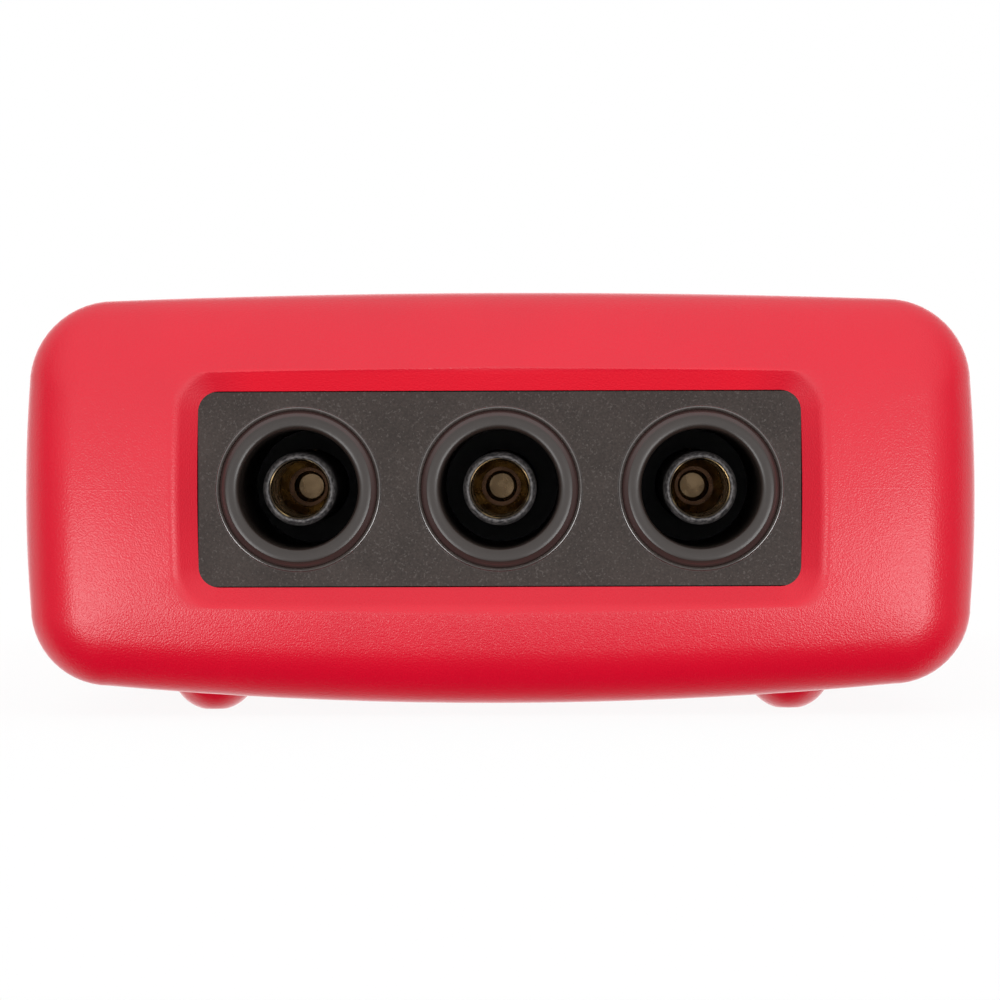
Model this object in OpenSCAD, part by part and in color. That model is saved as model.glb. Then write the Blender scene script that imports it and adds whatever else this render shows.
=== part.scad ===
// Pocket circuit breaker finder: a two-shell case in a soft boot, with three shrouded lead sockets in
// one end. It lies on its back, on the boot's feet. +Z is the front with the keys, -Y the socket end.
// The origin is under the middle of the boot, in the plane of the feet.

/* [Boot] */
// Width of the boot over its bulged sides
boot_w = 67.5; // [66:0.5:76]
// Length of the boot from end to end
boot_l = 136; // [134:1:156]
// Height of the boot at its middle, without the feet
boot_h = 29.2; // [29:0.1:34]
// Radius of the long edges at the front
boot_top_r = 6; // [5:0.1:7.5]
// Radius of the long edges at the back
boot_back_r = 5.6; // [4:0.1:6]
// Fall of the front lip from the middle to its edges
boot_top_crown = 0.5; // [0.1:0.1:0.9]
// Rise of the back from the middle to its edges
boot_back_crown = 1.3; // [0.2:0.1:1.5]
// Bulge of each side
boot_side_crown = 0.3; // [0.1:0.05:0.6]
// Bulge of each end face
boot_end_crown = 0.5; // [0.1:0.1:0.8]
// Rounding of the ends, measured along the boot
boot_end_depth = 4.2; // [3:0.1:5.5]
// Rounding of the ends, measured in from the sides
boot_end_side_r = 3.8; // [3:0.1:5.5]
// Rounding of the ends, measured down from the front
boot_end_top_r = 5.2; // [4:0.1:6]
// Rounding of the ends, measured up from the back
boot_end_back_r = 4; // [3:0.1:5.5]
// Corner radius of the end faces
boot_end_corner_r = 1.8; // [1.5:0.1:3.5]
// Wall of the boot at the sides
boot_side_wall = 2.2; // [1.8:0.1:3]
// Wall of the boot at the ends
boot_end_wall = 3; // [2.4:0.1:4]
// Wall of the boot at the middle of the back
boot_back_wall = 2.8; // [2.4:0.1:3.2]
// Thickness of the lip that holds the front case
boot_lip_t = 1.9; // [1.5:0.1:2]
// Width of the lip along the sides
boot_lip_side_w = 7; // [6.5:0.1:8.5]
// Width of the lip across the ends
boot_lip_end_w = 9; // [7.5:0.1:11]
// Corner radius of the front window
boot_window_r = 5; // [2:0.5:8]

/* [Feet] */
// Height of the middle of the back above the ground
foot_rise = 0.8; // [0.6:0.1:1.6]
// Radius of a foot's dome
foot_r = 2.9; // [2.6:0.1:5]
// Radius of the flat under a foot
foot_flat_r = 0.9; // [0.5:0.1:1.6]
// Distance of a foot from the middle line
foot_x = 20.8; // [15:0.1:24]
// Distance of a foot from the boot's end
foot_inset = 12.5; // [10:0.1:13]

/* [Case] */
// Wall of the front and rear case
case_wall = 2; // [1.6:0.1:2.4]
// Radius of the case's upright corners
case_corner_r = 3.2; // [2.5:0.1:5]
// Radius of the front case's edges
case_front_r = 4.2; // [3.5:0.1:4.6]
// Radius of the rear case's edges
case_back_r = 3; // [2.6:0.1:3.6]
// Rise of the front panel into the boot's window
panel_rise = 0.7; // [0.4:0.1:1]
// Rise of the back pad into the boot's window
back_rise = 1.5; // [1.2:0.1:1.8]

/* [Sockets] */
// Distance between neighbouring sockets
socket_pitch = 14.2; // [13.6:0.1:15]
// Height of the sockets above the boot's half height
socket_lift = 0.7; // [0:0.05:1]
// Bore that takes the shroud of a lead's plug
shroud_bore = 8.4; // [8:0.1:9]
// Wall of a socket barrel
barrel_wall = 1.5; // [1.2:0.1:1.6]
// Length of a socket barrel
barrel_l = 22; // [20:0.5:25]
// Bore of a contact sleeve, for a 4 mm plug
contact_bore = 4; // [3.9:0.1:4.2]
// Length of the contact bore
contact_bore_l = 12; // [10:0.5:14]
// Wall of a contact sleeve
contact_wall = 0.3; // [0.2:0.05:0.4]
// Wall of a contact's insulating collar
collar_wall = 0.28; // [0.2:0.02:0.4]
// Depth of a collar's mouth inside its barrel
collar_recess = 2; // [1:0.1:4]
// Depth of a contact's rim inside its collar
contact_recess = 0.5; // [0.3:0.1:1.5]
// Width of the socket plate's face
plate_w = 42.5; // [42:0.1:44]
// Height of the socket plate's face
plate_h = 13.7; // [13.2:0.1:14.5]
// Corner radius of the socket plate's face
plate_r = 1; // [0.6:0.1:1.6]
// Bulge of the socket plate's short edges
plate_bow = 0.3; // [0.1:0.05:0.5]
// Depth of the socket plate's face below the boot's end
plate_recess = 1.2; // [1:0.1:2.4]
// Width of the bevel round the boot's end window
bevel_w = 1.55; // [1:0.05:2]

/* [Keys and lamps] */
// Diameter of the power key
power_key_d = 15; // [12:0.5:17]
// Distance from the mode and level keys to the power key
power_key_step = 23; // [18:0.5:26]
// Length of the mode and level keys
side_key_l = 18; // [14:0.5:18.5]
// Width of the mode and level keys
side_key_w = 10; // [8:0.5:11]
// Distance of the mode and level keys from the middle line
side_key_x = 13; // [12:0.1:13.5]
// Distance from the lamps to the mode and level keys
side_key_step = 28; // [20:0.5:30]
// Height of the keys above the front panel
key_rise = 1.2; // [0.6:0.1:2]
// Travel of a key
key_travel = 0.5; // [0.2:0.1:0.6]
// Diameter of a lamp
lamp_d = 3; // [2:0.1:4]
// Width of the lamp lens
lens_w = 44; // [40:0.5:46]
// Length of the lamp lens along the case
lens_l = 11; // [8:0.5:13]
// Thickness of the lamp lens
lens_t = 1.3; // [0.8:0.1:1.4]
// Distance of the lamps from the boot's socket end
lamp_inset = 23; // [20:0.5:24]
// Distance from the power key to the buzzer
buzzer_step = 21; // [17:0.5:26]

/* [Board] */
// Thickness of the circuit board
board_t = 1.6; // [1:0.1:1.8]
// Gap between the board's edge and the case's walls
board_gap = 2; // [1:0.1:3]

/* [Battery] */
// Diameter of a battery cell
cell_d = 14.5; // [10.5:0.5:15]
// Length of a battery cell over its nub
cell_l = 50.5; // [44.5:0.5:51]
// Wall of the battery bay
bay_wall = 1.2; // [0.8:0.1:1.6]
// Distance of the battery bay's middle from the case's middle
bay_shift = 13.5; // [11:0.5:14]
// Thickness of the battery door
door_t = 2; // [1.6:0.1:2.4]
// Radius of the door's hinge edge
hinge_r = 1.3; // [1.2:0.05:1.5]
// Radius of the door's hinge pins
hinge_pin_r = 0.8; // [0.6:0.05:0.9]

/* [Fits] */
// Gap between the boot and the case
boot_fit = 0.15; // [0.05:0.05:0.3]
// Gap round a window's raised panel
panel_gap = 0.5; // [0.3:0.1:0.8]
// Gap round the keys
key_gap = 0.3; // [0.2:0.05:0.5]
// Gap round the battery door
door_gap = 0.3; // [0.2:0.05:0.5]
// Running clearance of the door's hinge pins
hinge_fit = 0.06; // [0.02:0.01:0.1]
// Clearance between pieces that seat in each other
seat_fit = 0.1; // [0.05:0.01:0.15]

/* [Hidden] */
$fn = 64;
past = 1; // how far a cut runs past a face

// Heights
back_z = foot_rise;
top_z = foot_rise + boot_h;
case_z0 = back_z + boot_back_wall + boot_fit;
case_z1 = top_z - boot_lip_t - boot_fit;
floor_z = case_z0 + case_wall;
ceiling_z = case_z1 - case_wall;
panel_z = case_z1 + panel_rise;
pad_z = case_z0 - back_rise;
socket_z = back_z + boot_h / 2 + socket_lift;
split_z = socket_z;

// Plan of the case and of the boot's windows
case_hw = boot_w / 2 - boot_side_wall - boot_fit;
case_hl = boot_l / 2 - boot_end_wall - boot_fit;
window_w = boot_w - 2 * boot_lip_side_w;
window_l = boot_l - 2 * boot_lip_end_w;
foot_y = boot_l / 2 - foot_inset;

// Sockets, from the mouth inwards
socket_x = [-socket_pitch, 0, socket_pitch];
barrel_bore_r = shroud_bore / 2;
barrel_r = barrel_bore_r + barrel_wall;
barrel_proud = 0.3;
flange_t = 1.5;
flange_w = 1.2;
plate_y = -boot_l / 2 + plate_recess;
plate_flange_y = -case_hl + case_wall + seat_fit / 2;
plate_back_y = plate_flange_y + flange_t;
barrel_y = plate_y - barrel_proud;
barrel_flange_y = plate_back_y + seat_fit / 2;
barrel_flange_r = barrel_r + 0.8;
carrier_t = 2.5;
carrier_y = barrel_y + barrel_l + seat_fit;
carrier_back_y = carrier_y + carrier_t;
carrier_rib_x = socket_pitch + barrel_r + 0.5;
carrier_seat_w = 3;
carrier_hw = carrier_rib_x + carrier_seat_w;
carrier_rib_t = 1.5;
contact_bore_r = contact_bore / 2;
sleeve_r = contact_bore_r + contact_wall;
sleeve_fit = 0.04;
collar_bore_r = sleeve_r + sleeve_fit;
collar_r = collar_bore_r + collar_wall;
collar_y = barrel_y + collar_recess;
sleeve_y = collar_y + contact_recess;
tail_r = 1.2;
tail_l = 2.4;
pin_r = 0.6;
pin_y = carrier_back_y + tail_l / 2;

// Battery bay and door
cell_r = cell_d / 2;
cell_nub_r = 2.75;
cell_nub_l = 1.3;
cell_x = cell_r + 0.25;
cell_z = pad_z + door_t + 0.4 + cell_r;
spring_l = 5.4;
terminal_t = 0.5;
terminal_w = 11;
terminal_h = 10;
bay_hw = cell_x + cell_r + 0.4;
bay_l = cell_l + spring_l + 2 * terminal_t + 3 * seat_fit;
bay_y0 = bay_shift - bay_l / 2;
bay_y1 = bay_shift + bay_l / 2;
bay_top_z = cell_z + cell_r + 0.2;
bay_roof_z = bay_top_z + bay_wall;
ledge_w = 2.2;
ledge_z = pad_z + door_t + seat_fit;
door_hw = bay_hw + ledge_w;
hinge_y = bay_y1 + ledge_w + hinge_r;
hinge_z = pad_z + hinge_r;
hinge_pin_l = 1.8;
screw_boss_r = 3.4;
door_boss_h = 4;
door_screw_y = bay_y0 - bay_wall - screw_boss_r - 1;
door_y0 = door_screw_y - screw_boss_r - 0.8;
door_corner_r = 2;
pad_rim = 2.4;
pad_hw = door_hw + door_gap + pad_rim;
pad_y0 = door_y0 - door_gap - pad_rim;
pad_y1 = hinge_y + hinge_r + door_gap + pad_rim;
pad_r = 3;
insert_r = 2.2;
insert_l = 4.4;
insert_z = pad_z + door_boss_h + 0.4;
insert_bore_r = 1.55;
turret_r = 5.4;
door_screw_r = 1.2;
door_head_r = 2.6;
door_head_t = 1.5;
door_head_sink = 0.3;
door_screw_tip_z = insert_z + 2.6;

// Controls on the front, from the socket end
lamp_y = -boot_l / 2 + lamp_inset;
side_key_y = lamp_y + side_key_step;
power_key_y = side_key_y + power_key_step;
buzzer_y = power_key_y + buzzer_step;

// Circuit board and what it carries
board_z = max(socket_z + barrel_r, bay_roof_z) + 0.3;
board_top_z = board_z + board_t;
board_hw = case_hw - case_wall - board_gap;
board_y0 = barrel_flange_y + flange_t + 0.4;
board_y1 = case_hl - case_wall - board_gap;
board_screw_inset = 3;
board_screw_x = board_hw - board_screw_inset;
board_screw_ys = [bay_y0 + 5, bay_y1 - 8];
board_boss_r = 2.4;
board_screw_r = 0.95;

chip_h = 1.3;
chip_w = 8;
chip_l = 11;
chip_x = (bay_hw + bay_wall + board_hw) / 2;
resistor_r = 0.9;
resistor_l = 3.6;
resistor_wire_r = 0.3;
resistor_wire_l = 1.2;
solder_r = 0.4;
under_gap = 0.3;
core_w = socket_pitch - 2 * resistor_r - 2 * under_gap;
core_l = 8;
core_h = 10;
core_limb = 2.2;
coil_bulge = 1.6;
capacitor_r = core_w / 4 - seat_fit;
capacitor_h = 9;
under_x = socket_pitch / 2;
under_y = bay_y0 - bay_wall - 2 * under_gap - core_l / 2 - coil_bulge;

// Screws that join the two shells
case_column_r = 3.2;
case_column_sink = 0.7;
case_screw_inset = 8;
case_screw_x = case_hw - case_wall + case_column_sink - case_column_r;
case_screw_y = case_hl - case_screw_inset;
case_screw_r = 1.1;
case_head_r = 2.2;
case_head_t = 1.6;
case_head_depth = 2.5;
case_head_z = floor_z + case_head_depth;

// Keys and switches
key_pocket_z = panel_z - 1.4;
key_flange_w = 1.1;
key_flange_t = 0.9;
key_flange_z = key_pocket_z - seat_fit - key_flange_t;
key_edge_r = 0.7;
switch_w = 6;
plunger_r = 1.7;
plunger_show = key_travel + 0.3;
switch_h = key_flange_z - board_top_z - plunger_show;
lens_z = panel_z - lens_t;
lens_rim = 1.6;
lens_r = 2;

// Basic shapes

module rounded_rect(w, l, r) {
    square([w - 2 * r, l], center = true);
    square([w, l - 2 * r], center = true);
    for (sx = [-1, 1], sy = [-1, 1])
        translate([sx * (w / 2 - r), sy * (l / 2 - r)]) circle(r);
}

// A rectangle from (-hw, y0) to (hw, y1) with round corners
module rounded_span(hw, y0, y1, r) {
    translate([0, (y0 + y1) / 2]) rounded_rect(2 * hw, y1 - y0, r);
}

// A flat outline with its lower edges rounded by r0 and its upper ones by r1
module rounded_band(hw, z0, z1, r0, r1) {
    translate([-hw, z0 + r0]) square([2 * hw, z1 - r1 - z0 - r0]);
    translate([-hw + r0, z0]) square([2 * (hw - r0), z1 - r1 - z0]);
    translate([-hw + r1, z0 + r0]) square([2 * (hw - r1), z1 - z0 - r0]);
    for (s = [-1, 1]) {
        translate([s * (hw - r0), z0 + r0]) circle(r0);
        translate([s * (hw - r1), z1 - r1]) circle(r1);
    }
}

module along_y(y) {
    translate([0, y, 0]) rotate([-90, 0, 0]) mirror([0, 1, 0]) children();
}

// A ring profile of radius, from and to measured along the axis
module ring_profile(r0, r1, from, to) {
    translate([r0, from]) square([r1 - r0, to - from]);
}

// A capsule-shaped cap of height h with its top edge rounded; equal l and w make it round
module soft_cap(l, w, h, edge) {
    half = (l - w) / 2;
    for (s = half > 0 ? [-1, 1] : [0])
        translate([s * half, 0, 0]) rotate_extrude() cap_profile(w / 2, h, edge);
    if (half > 0)
        rotate([90, 0, 90]) linear_extrude(2 * half, center = true) {
            cap_profile(w / 2, h, edge);
            mirror([1, 0]) cap_profile(w / 2, h, edge);
        }
}

module cap_profile(r, h, edge) {
    square([r - edge, h]);
    square([r, h - edge]);
    translate([r - edge, h - edge]) circle(edge);
}

module capsule(l, w) {
    half = (l - w) / 2;
    for (s = half > 0 ? [-1, 1] : [0]) translate([s * half, 0]) circle(w / 2);
    if (half > 0) square([2 * half, w], center = true);
}

// Boot

corner_steps = 9;
side_steps = 4;
front_steps = 6;
back_steps = 8;
fillet_steps = 8;
end_inset = 6;

function arc_points(x, z, r, a0, a1) =
    [for (i = [0:corner_steps]) let (a = a0 + (a1 - a0) * i / corner_steps)
        [x + r * cos(a), z + r * sin(a)]];

// Points from one end of a bulged edge to the other, without the ends
function edge_steps(n) = [for (i = [1:n - 1]) -1 + 2 * i / n];

// Outline of the boot across its length; k shrinks its bulges, share leads its corners to those of the ends
function boot_section(hw, z0, z1, k, share) =
    let (rt = boot_top_r + share * (boot_end_corner_r - boot_top_r),
         rb = boot_back_r + share * (boot_end_corner_r - boot_back_r),
         ct = boot_top_crown * k, cb = boot_back_crown * k, cs = boot_side_crown * k,
         xt = hw - cs - rt, xb = hw - cs - rb,
         zt = z1 - ct - rt, zb = z0 + cb + rb,
         zm = (zt + zb) / 2, zh = (zt - zb) / 2)
    concat(
        [for (s = edge_steps(side_steps)) [hw - cs * s * s, zm + zh * s]],
        arc_points(xt, zt, rt, 0, 90),
        [for (s = edge_steps(front_steps)) [-s * xt, z1 - ct * s * s]],
        arc_points(-xt, zt, rt, 90, 180),
        [for (s = edge_steps(side_steps)) [-hw + cs * s * s, zm - zh * s]],
        arc_points(-xb, zb, rb, 180, 270),
        [for (s = edge_steps(back_steps)) [s * xb, z0 + cb * s * s]],
        arc_points(xb, zb, rb, 270, 360));

// Steps of an end's rounding: share of the fillet, inset of the face, depth from the end
end_rings = concat(
    [for (i = [0:fillet_steps]) let (a = 90 * i / fillet_steps)
        [1 - cos(a), 0, boot_end_crown + boot_end_depth * (1 - sin(a))]],
    [[1, end_inset / 2, boot_end_crown / 4], [1, end_inset, 0]]);

function boot_ring(ring, end) =
    let (z0 = back_z + ring[0] * boot_end_back_r + ring[1],
         z1 = top_z - ring[0] * boot_end_top_r - ring[1],
         hw = boot_w / 2 - ring[0] * boot_end_side_r - ring[1])
    [for (p = boot_section(hw, z0, z1, (z1 - z0) / boot_h, ring[0]))
        [p[0], end * (boot_l / 2 - ring[2]), p[1]]];

module boot_form() {
    last = len(end_rings) - 1;
    rings = concat(
        [for (i = [0:last]) boot_ring(end_rings[last - i], -1)],
        [for (i = [0:last]) boot_ring(end_rings[i], 1)]);
    n = len(rings[0]);
    m = len(rings);
    polyhedron(
        points = [for (ring = rings, p = ring) p],
        faces = concat(
            [[for (j = [0:n - 1]) n - 1 - j]],
            [for (i = [0:m - 2], j = [0:n - 1]) let (k = (j + 1) % n)
                [i * n + j, i * n + k, (i + 1) * n + k, (i + 1) * n + j]],
            [[for (j = [0:n - 1]) (m - 1) * n + j]]));
}

module foot() {
    rise = sqrt(foot_r * foot_r - foot_flat_r * foot_flat_r);
    difference() {
        translate([0, 0, rise]) sphere(foot_r);
        translate([0, 0, -past]) cylinder(r = 2 * foot_r, h = past);
    }
}

module protective_boot() {
    color("crimson")
    difference() {
        union() {
            boot_form();
            for (sx = [-1, 1], sy = [-1, 1]) translate([sx * foot_x, sy * foot_y, 0]) foot();
        }
        case_form(boot_fit);
        translate([0, 0, case_z1 - past])
            linear_extrude(boot_lip_t + 2 * past) rounded_rect(window_w, window_l, boot_window_r);
        translate([0, 0, -past]) linear_extrude(case_z0 + 2 * past)
            rounded_span(pad_hw + panel_gap, pad_y0 - panel_gap, pad_y1 + panel_gap, pad_r + panel_gap);
        end_window();
    }
}

// Bevelled window round the socket plate
module end_window() {
    slice = 0.01;
    along_y(-boot_l / 2 - past) translate([0, socket_z])
        linear_extrude(boot_end_wall + 2 * past) plate_outline(seat_fit);
    hull() {
        along_y(plate_y - slice) translate([0, socket_z]) linear_extrude(slice) plate_outline(seat_fit);
        along_y(-boot_l / 2 - slice) translate([0, socket_z]) linear_extrude(slice)
            plate_outline(bevel_w);
    }
}

// Case shells

// The closed outer form of the two shells, grown or shrunk by g
module case_form(g) {
    hw = case_hw + g;
    hl = case_hl + g;
    intersection() {
        rotate([90, 0, 0]) linear_extrude(2 * hl, center = true)
            rounded_band(hw, case_z0 - g, case_z1 + g, case_back_r + g, case_front_r + g);
        rotate([90, 0, 90]) linear_extrude(2 * hw, center = true)
            rounded_band(hl, case_z0 - g, case_z1 + g, case_back_r + g, case_front_r + g);
        linear_extrude(case_z1 + g) rounded_rect(2 * hw, 2 * hl, case_corner_r + g);
    }
}

// Everything above (side 1) or below (side -1) the split between the shells
module half_space(side) {
    reach = 2 * boot_l;
    translate([0, 0, split_z + side * reach / 2]) cube(reach, center = true);
}

module case_shell(side) {
    intersection() {
        difference() {
            case_form(0);
            case_form(-case_wall);
        }
        half_space(side);
    }
}

// Opening for the socket plate's face, with its flange seat
module plate_opening() {
    along_y(-case_hl - past) translate([0, socket_z])
        linear_extrude(case_wall + 2 * past) plate_outline(seat_fit);
}

module at_case_screws() {
    for (sx = [-1, 1], sy = [-1, 1]) translate([sx * case_screw_x, sy * case_screw_y, 0]) children();
}

module at_board_screws() {
    for (sx = [-1, 1], y = board_screw_ys) translate([sx * board_screw_x, y, 0]) children();
}

module front_case() {
    color("dimgray")
    difference() {
        union() {
            case_shell(1);
            translate([0, 0, ceiling_z]) linear_extrude(panel_z - ceiling_z)
                rounded_rect(window_w - 2 * panel_gap, window_l - 2 * panel_gap, boot_window_r - panel_gap);
            intersection() {
                at_case_screws() translate([0, 0, split_z])
                    cylinder(r = case_column_r, h = ceiling_z - split_z + past);
                case_form(0);
            }
            at_board_screws() translate([0, 0, board_top_z])
                cylinder(r = board_boss_r, h = ceiling_z - board_top_z + past);
        }
        plate_opening();
        at_case_screws() translate([0, 0, split_z - past])
            cylinder(r = case_screw_r + seat_fit / 2, h = ceiling_z - split_z);
        at_board_screws() translate([0, 0, board_top_z - past])
            cylinder(r = board_screw_r + seat_fit / 2, h = ceiling_z - board_top_z + past);
        lens_seat();
        translate([0, power_key_y, 0]) key_hole(power_key_d, power_key_d);
        for (s = [-1, 1]) translate([s * side_key_x, side_key_y, 0]) key_hole(side_key_l, side_key_w);
        sound_slots();
    }
}

module lens_seat() {
    translate([0, lamp_y, lens_z]) linear_extrude(lens_t + past)
        rounded_rect(lens_w + 2 * seat_fit, lens_l + 2 * seat_fit, lens_r);
    translate([0, lamp_y, ceiling_z - past]) linear_extrude(panel_z - ceiling_z)
        rounded_rect(lens_w - 2 * lens_rim, lens_l - 2 * lens_rim, lens_r);
}

// Hole for a key, with a pocket behind the panel for its flange
module key_hole(l, w) {
    flange = 2 * (key_flange_w + key_gap);
    translate([0, 0, key_pocket_z - past]) linear_extrude(panel_z)
        capsule(l + 2 * key_gap, w + 2 * key_gap);
    translate([0, 0, ceiling_z - past]) linear_extrude(key_pocket_z - ceiling_z + past)
        capsule(l + flange, w + flange);
}

slot_l = 9;
slot_w = 1.1;
slot_pitch = 2.4;
slot_count = 4;

module sound_slots() {
    for (i = [0:slot_count - 1])
        translate([0, buzzer_y + (i - (slot_count - 1) / 2) * slot_pitch, ceiling_z - past])
            linear_extrude(panel_z) capsule(slot_l, slot_w);
}

module rear_case() {
    color("dimgray")
    difference() {
        union() {
            case_shell(-1);
            translate([0, 0, pad_z]) linear_extrude(floor_z - pad_z)
                rounded_span(pad_hw, pad_y0, pad_y1, pad_r);
            intersection() {
                at_case_screws() translate([0, 0, case_z0])
                    cylinder(r = case_column_r, h = split_z - case_z0);
                case_form(0);
            }
            bay_box();
            translate([0, door_screw_y, floor_z - past])
                cylinder(r = turret_r, h = insert_z + insert_l + past - floor_z);
            carrier_seats();
        }
        plate_opening();
        at_case_screws() {
            translate([0, 0, case_z0 - past]) cylinder(r = case_screw_r + 2 * seat_fit, h = split_z);
            translate([0, 0, case_z0 - past])
                cylinder(r = case_head_r + 2 * seat_fit, h = case_head_z - case_z0 + past);
        }
        bay_space();
        door_opening();
        translate([0, door_screw_y, 0]) {
            translate([0, 0, pad_z]) cylinder(r = screw_boss_r + 2 * door_gap, h = insert_z - pad_z);
            translate([0, 0, pad_z]) cylinder(r = insert_r, h = insert_z + insert_l + 2 * past - pad_z);
        }
    }
}

module bay_box() {
    translate([-bay_hw - bay_wall, bay_y0 - bay_wall, floor_z - past])
        cube([2 * (bay_hw + bay_wall), bay_l + 2 * bay_wall, bay_roof_z - floor_z + past]);
}

module bay_space() {
    translate([-bay_hw, bay_y0, pad_z - past]) cube([2 * bay_hw, bay_l, bay_top_z - pad_z + past]);
}

// Stepped opening for the door, with holes for its hinge pins
module door_opening() {
    hw = door_hw + door_gap;
    reach = hinge_r + door_gap;
    translate([0, 0, pad_z - past]) linear_extrude(ledge_z - pad_z + past)
        rounded_span(hw, door_y0 - door_gap, hinge_y + reach, door_corner_r);
    translate([-hw, hinge_y - reach, pad_z - past])
        cube([2 * hw, 2 * reach, past + 2 * hinge_r + door_gap]);
    translate([0, hinge_y, hinge_z]) rotate([0, 90, 0])
        cylinder(r = hinge_pin_r + hinge_fit, h = 2 * (door_hw + hinge_pin_l + door_gap), center = true);
}

// Slotted posts that hold the contact carrier
module carrier_seats() {
    gap = seat_fit;
    y0 = carrier_y - gap - carrier_rib_t;
    y1 = carrier_back_y + gap + carrier_rib_t;
    width = carrier_hw + gap + carrier_rib_t - carrier_rib_x;
    for (s = [-1, 1]) difference() {
        translate([s * (carrier_rib_x + width / 2) - width / 2, y0, floor_z - past])
            cube([width, y1 - y0, split_z - floor_z + past]);
        translate([-carrier_hw - gap, carrier_y - gap, socket_z - barrel_r - gap])
            cube([2 * (carrier_hw + gap), carrier_t + 2 * gap, 2 * barrel_r]);
    }
}

// Lead sockets

// Outline of the socket plate's face with bulged short edges, grown by g
module plate_outline(g) {
    bow_r = (plate_h * plate_h / 4 + plate_bow * plate_bow) / (2 * plate_bow);
    offset(r = plate_r + g) offset(delta = -plate_r) intersection() {
        square([plate_w, plate_h], center = true);
        for (s = [-1, 1]) translate([s * (bow_r - plate_w / 2), 0]) circle(bow_r, $fn = 360);
    }
}

module socket_plate() {
    color("darkslategray")
    difference() {
        union() {
            along_y(plate_y) translate([0, socket_z])
                linear_extrude(plate_back_y - plate_y) plate_outline(0);
            intersection() {
                translate([-plate_w / 2 - flange_w, plate_flange_y, socket_z - plate_h / 2 - flange_w])
                    cube([plate_w + 2 * flange_w, flange_t, plate_h + 2 * flange_w]);
                case_form(-case_wall - seat_fit / 2);
            }
        }
        for (x = socket_x) translate([x, 0, socket_z])
            along_y(plate_y - past)
                cylinder(r = barrel_r + seat_fit, h = plate_back_y - plate_y + 2 * past);
    }
}

// A tube with a round nose, held behind the plate by its flange
module socket_barrel(i) {
    nose = barrel_wall / 2;
    flange = barrel_flange_y - barrel_y;
    color("darkslategray") translate([socket_x[i], 0, socket_z]) along_y(barrel_y) rotate_extrude() {
        ring_profile(barrel_bore_r, barrel_r, nose, barrel_l);
        translate([barrel_bore_r + nose, nose]) circle(nose);
        ring_profile(barrel_bore_r, barrel_flange_r, flange, flange + flange_t);
    }
}

// An insulating tube with a round nose that stands out past the contact
module contact_collar(i) {
    edge = collar_wall / 2;
    l = carrier_back_y - collar_y;
    color("dimgray") translate([socket_x[i], 0, socket_z]) along_y(collar_y) rotate_extrude() {
        ring_profile(collar_bore_r, collar_r, edge, l);
        translate([collar_r - edge, edge]) circle(edge);
    }
}

// A turned brass tube with a stepped bore and a solder pin for the board
module contact_sleeve(i) {
    step_r = 0.72 * contact_bore_r;
    step_l = 4.5;
    bottom_r = 0.38 * contact_bore_r;
    end_l = carrier_back_y - sleeve_y;
    color("goldenrod") translate([socket_x[i], 0, socket_z]) {
        along_y(sleeve_y) rotate_extrude() difference() {
            union() {
                square([sleeve_r, end_l]);
                square([tail_r, end_l + tail_l]);
            }
            translate([0, -past]) square([contact_bore_r, contact_bore_l + past]);
            square([step_r, contact_bore_l + step_l]);
            polygon([[0, contact_bore_l], [contact_bore_r, contact_bore_l],
                     [step_r, contact_bore_l + contact_bore_r - step_r],
                     [0, contact_bore_l + contact_bore_r - step_r]]);
            polygon([[0, contact_bore_l], [step_r, contact_bore_l + step_l],
                     [bottom_r, contact_bore_l + step_l + step_r - bottom_r],
                     [0, contact_bore_l + step_l + step_r - bottom_r]]);
        }
        translate([0, pin_y, 0]) cylinder(r = pin_r, h = board_top_z + pin_r - socket_z);
    }
}

// A plate that closes the barrels and centres the contacts
module contact_carrier() {
    color("darkslategray") difference() {
        translate([-carrier_hw, carrier_y, socket_z - barrel_r])
            cube([2 * carrier_hw, carrier_t, 2 * barrel_r]);
        for (x = socket_x) translate([x, 0, socket_z])
            along_y(carrier_y - past) cylinder(r = collar_r + seat_fit, h = carrier_t + 2 * past);
    }
}

// Board and electrical pieces

module circuit_board() {
    color("seagreen") translate([0, 0, board_z]) linear_extrude(board_t) difference() {
        translate([-board_hw, board_y0]) square([2 * board_hw, board_y1 - board_y0]);
        at_case_screws() circle(case_column_r + board_gap / 2);
        at_board_screws() circle(board_screw_r + 3 * seat_fit);
        for (x = socket_x) translate([x, pin_y]) circle(pin_r + 2 * seat_fit);
    }
}

module lamp_lens() {
    color("black", 0.7) translate([0, lamp_y, lens_z + seat_fit / 2])
        linear_extrude(lens_t - seat_fit / 2) rounded_rect(lens_w, lens_l, lens_r - seat_fit);
}

// A round-topped lamp on the board, behind the lens
module lamp(i) {
    r = lamp_d / 2;
    h = lens_z - board_top_z - seat_fit;
    color("white") translate([socket_x[i], lamp_y, board_top_z]) rotate_extrude() {
        square([r + 0.3, 0.6]);
        square([r, h - r]);
        intersection() {
            translate([0, h - r]) circle(r);
            square([r, h]);
        }
    }
}

// Where each key stands: its place, length and width
key_places = [
    [0, power_key_y, power_key_d, power_key_d],
    [-side_key_x, side_key_y, side_key_l, side_key_w],
    [side_key_x, side_key_y, side_key_l, side_key_w]
];

module at_key(i) {
    translate([key_places[i][0], key_places[i][1], 0]) children();
}

module key_switch(i) {
    color("silver") at_key(i) difference() {
        translate([-switch_w / 2, -switch_w / 2, board_top_z]) cube([switch_w, switch_w, switch_h]);
        translate([0, 0, board_top_z + switch_h / 3]) cylinder(r = plunger_r + seat_fit, h = switch_h);
    }
}

module switch_plunger(i) {
    well = 2 * switch_h / 3 - key_travel - seat_fit;
    color("black") at_key(i) translate([0, 0, key_flange_z - plunger_show - well])
        cylinder(r = plunger_r, h = plunger_show + well);
}

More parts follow.
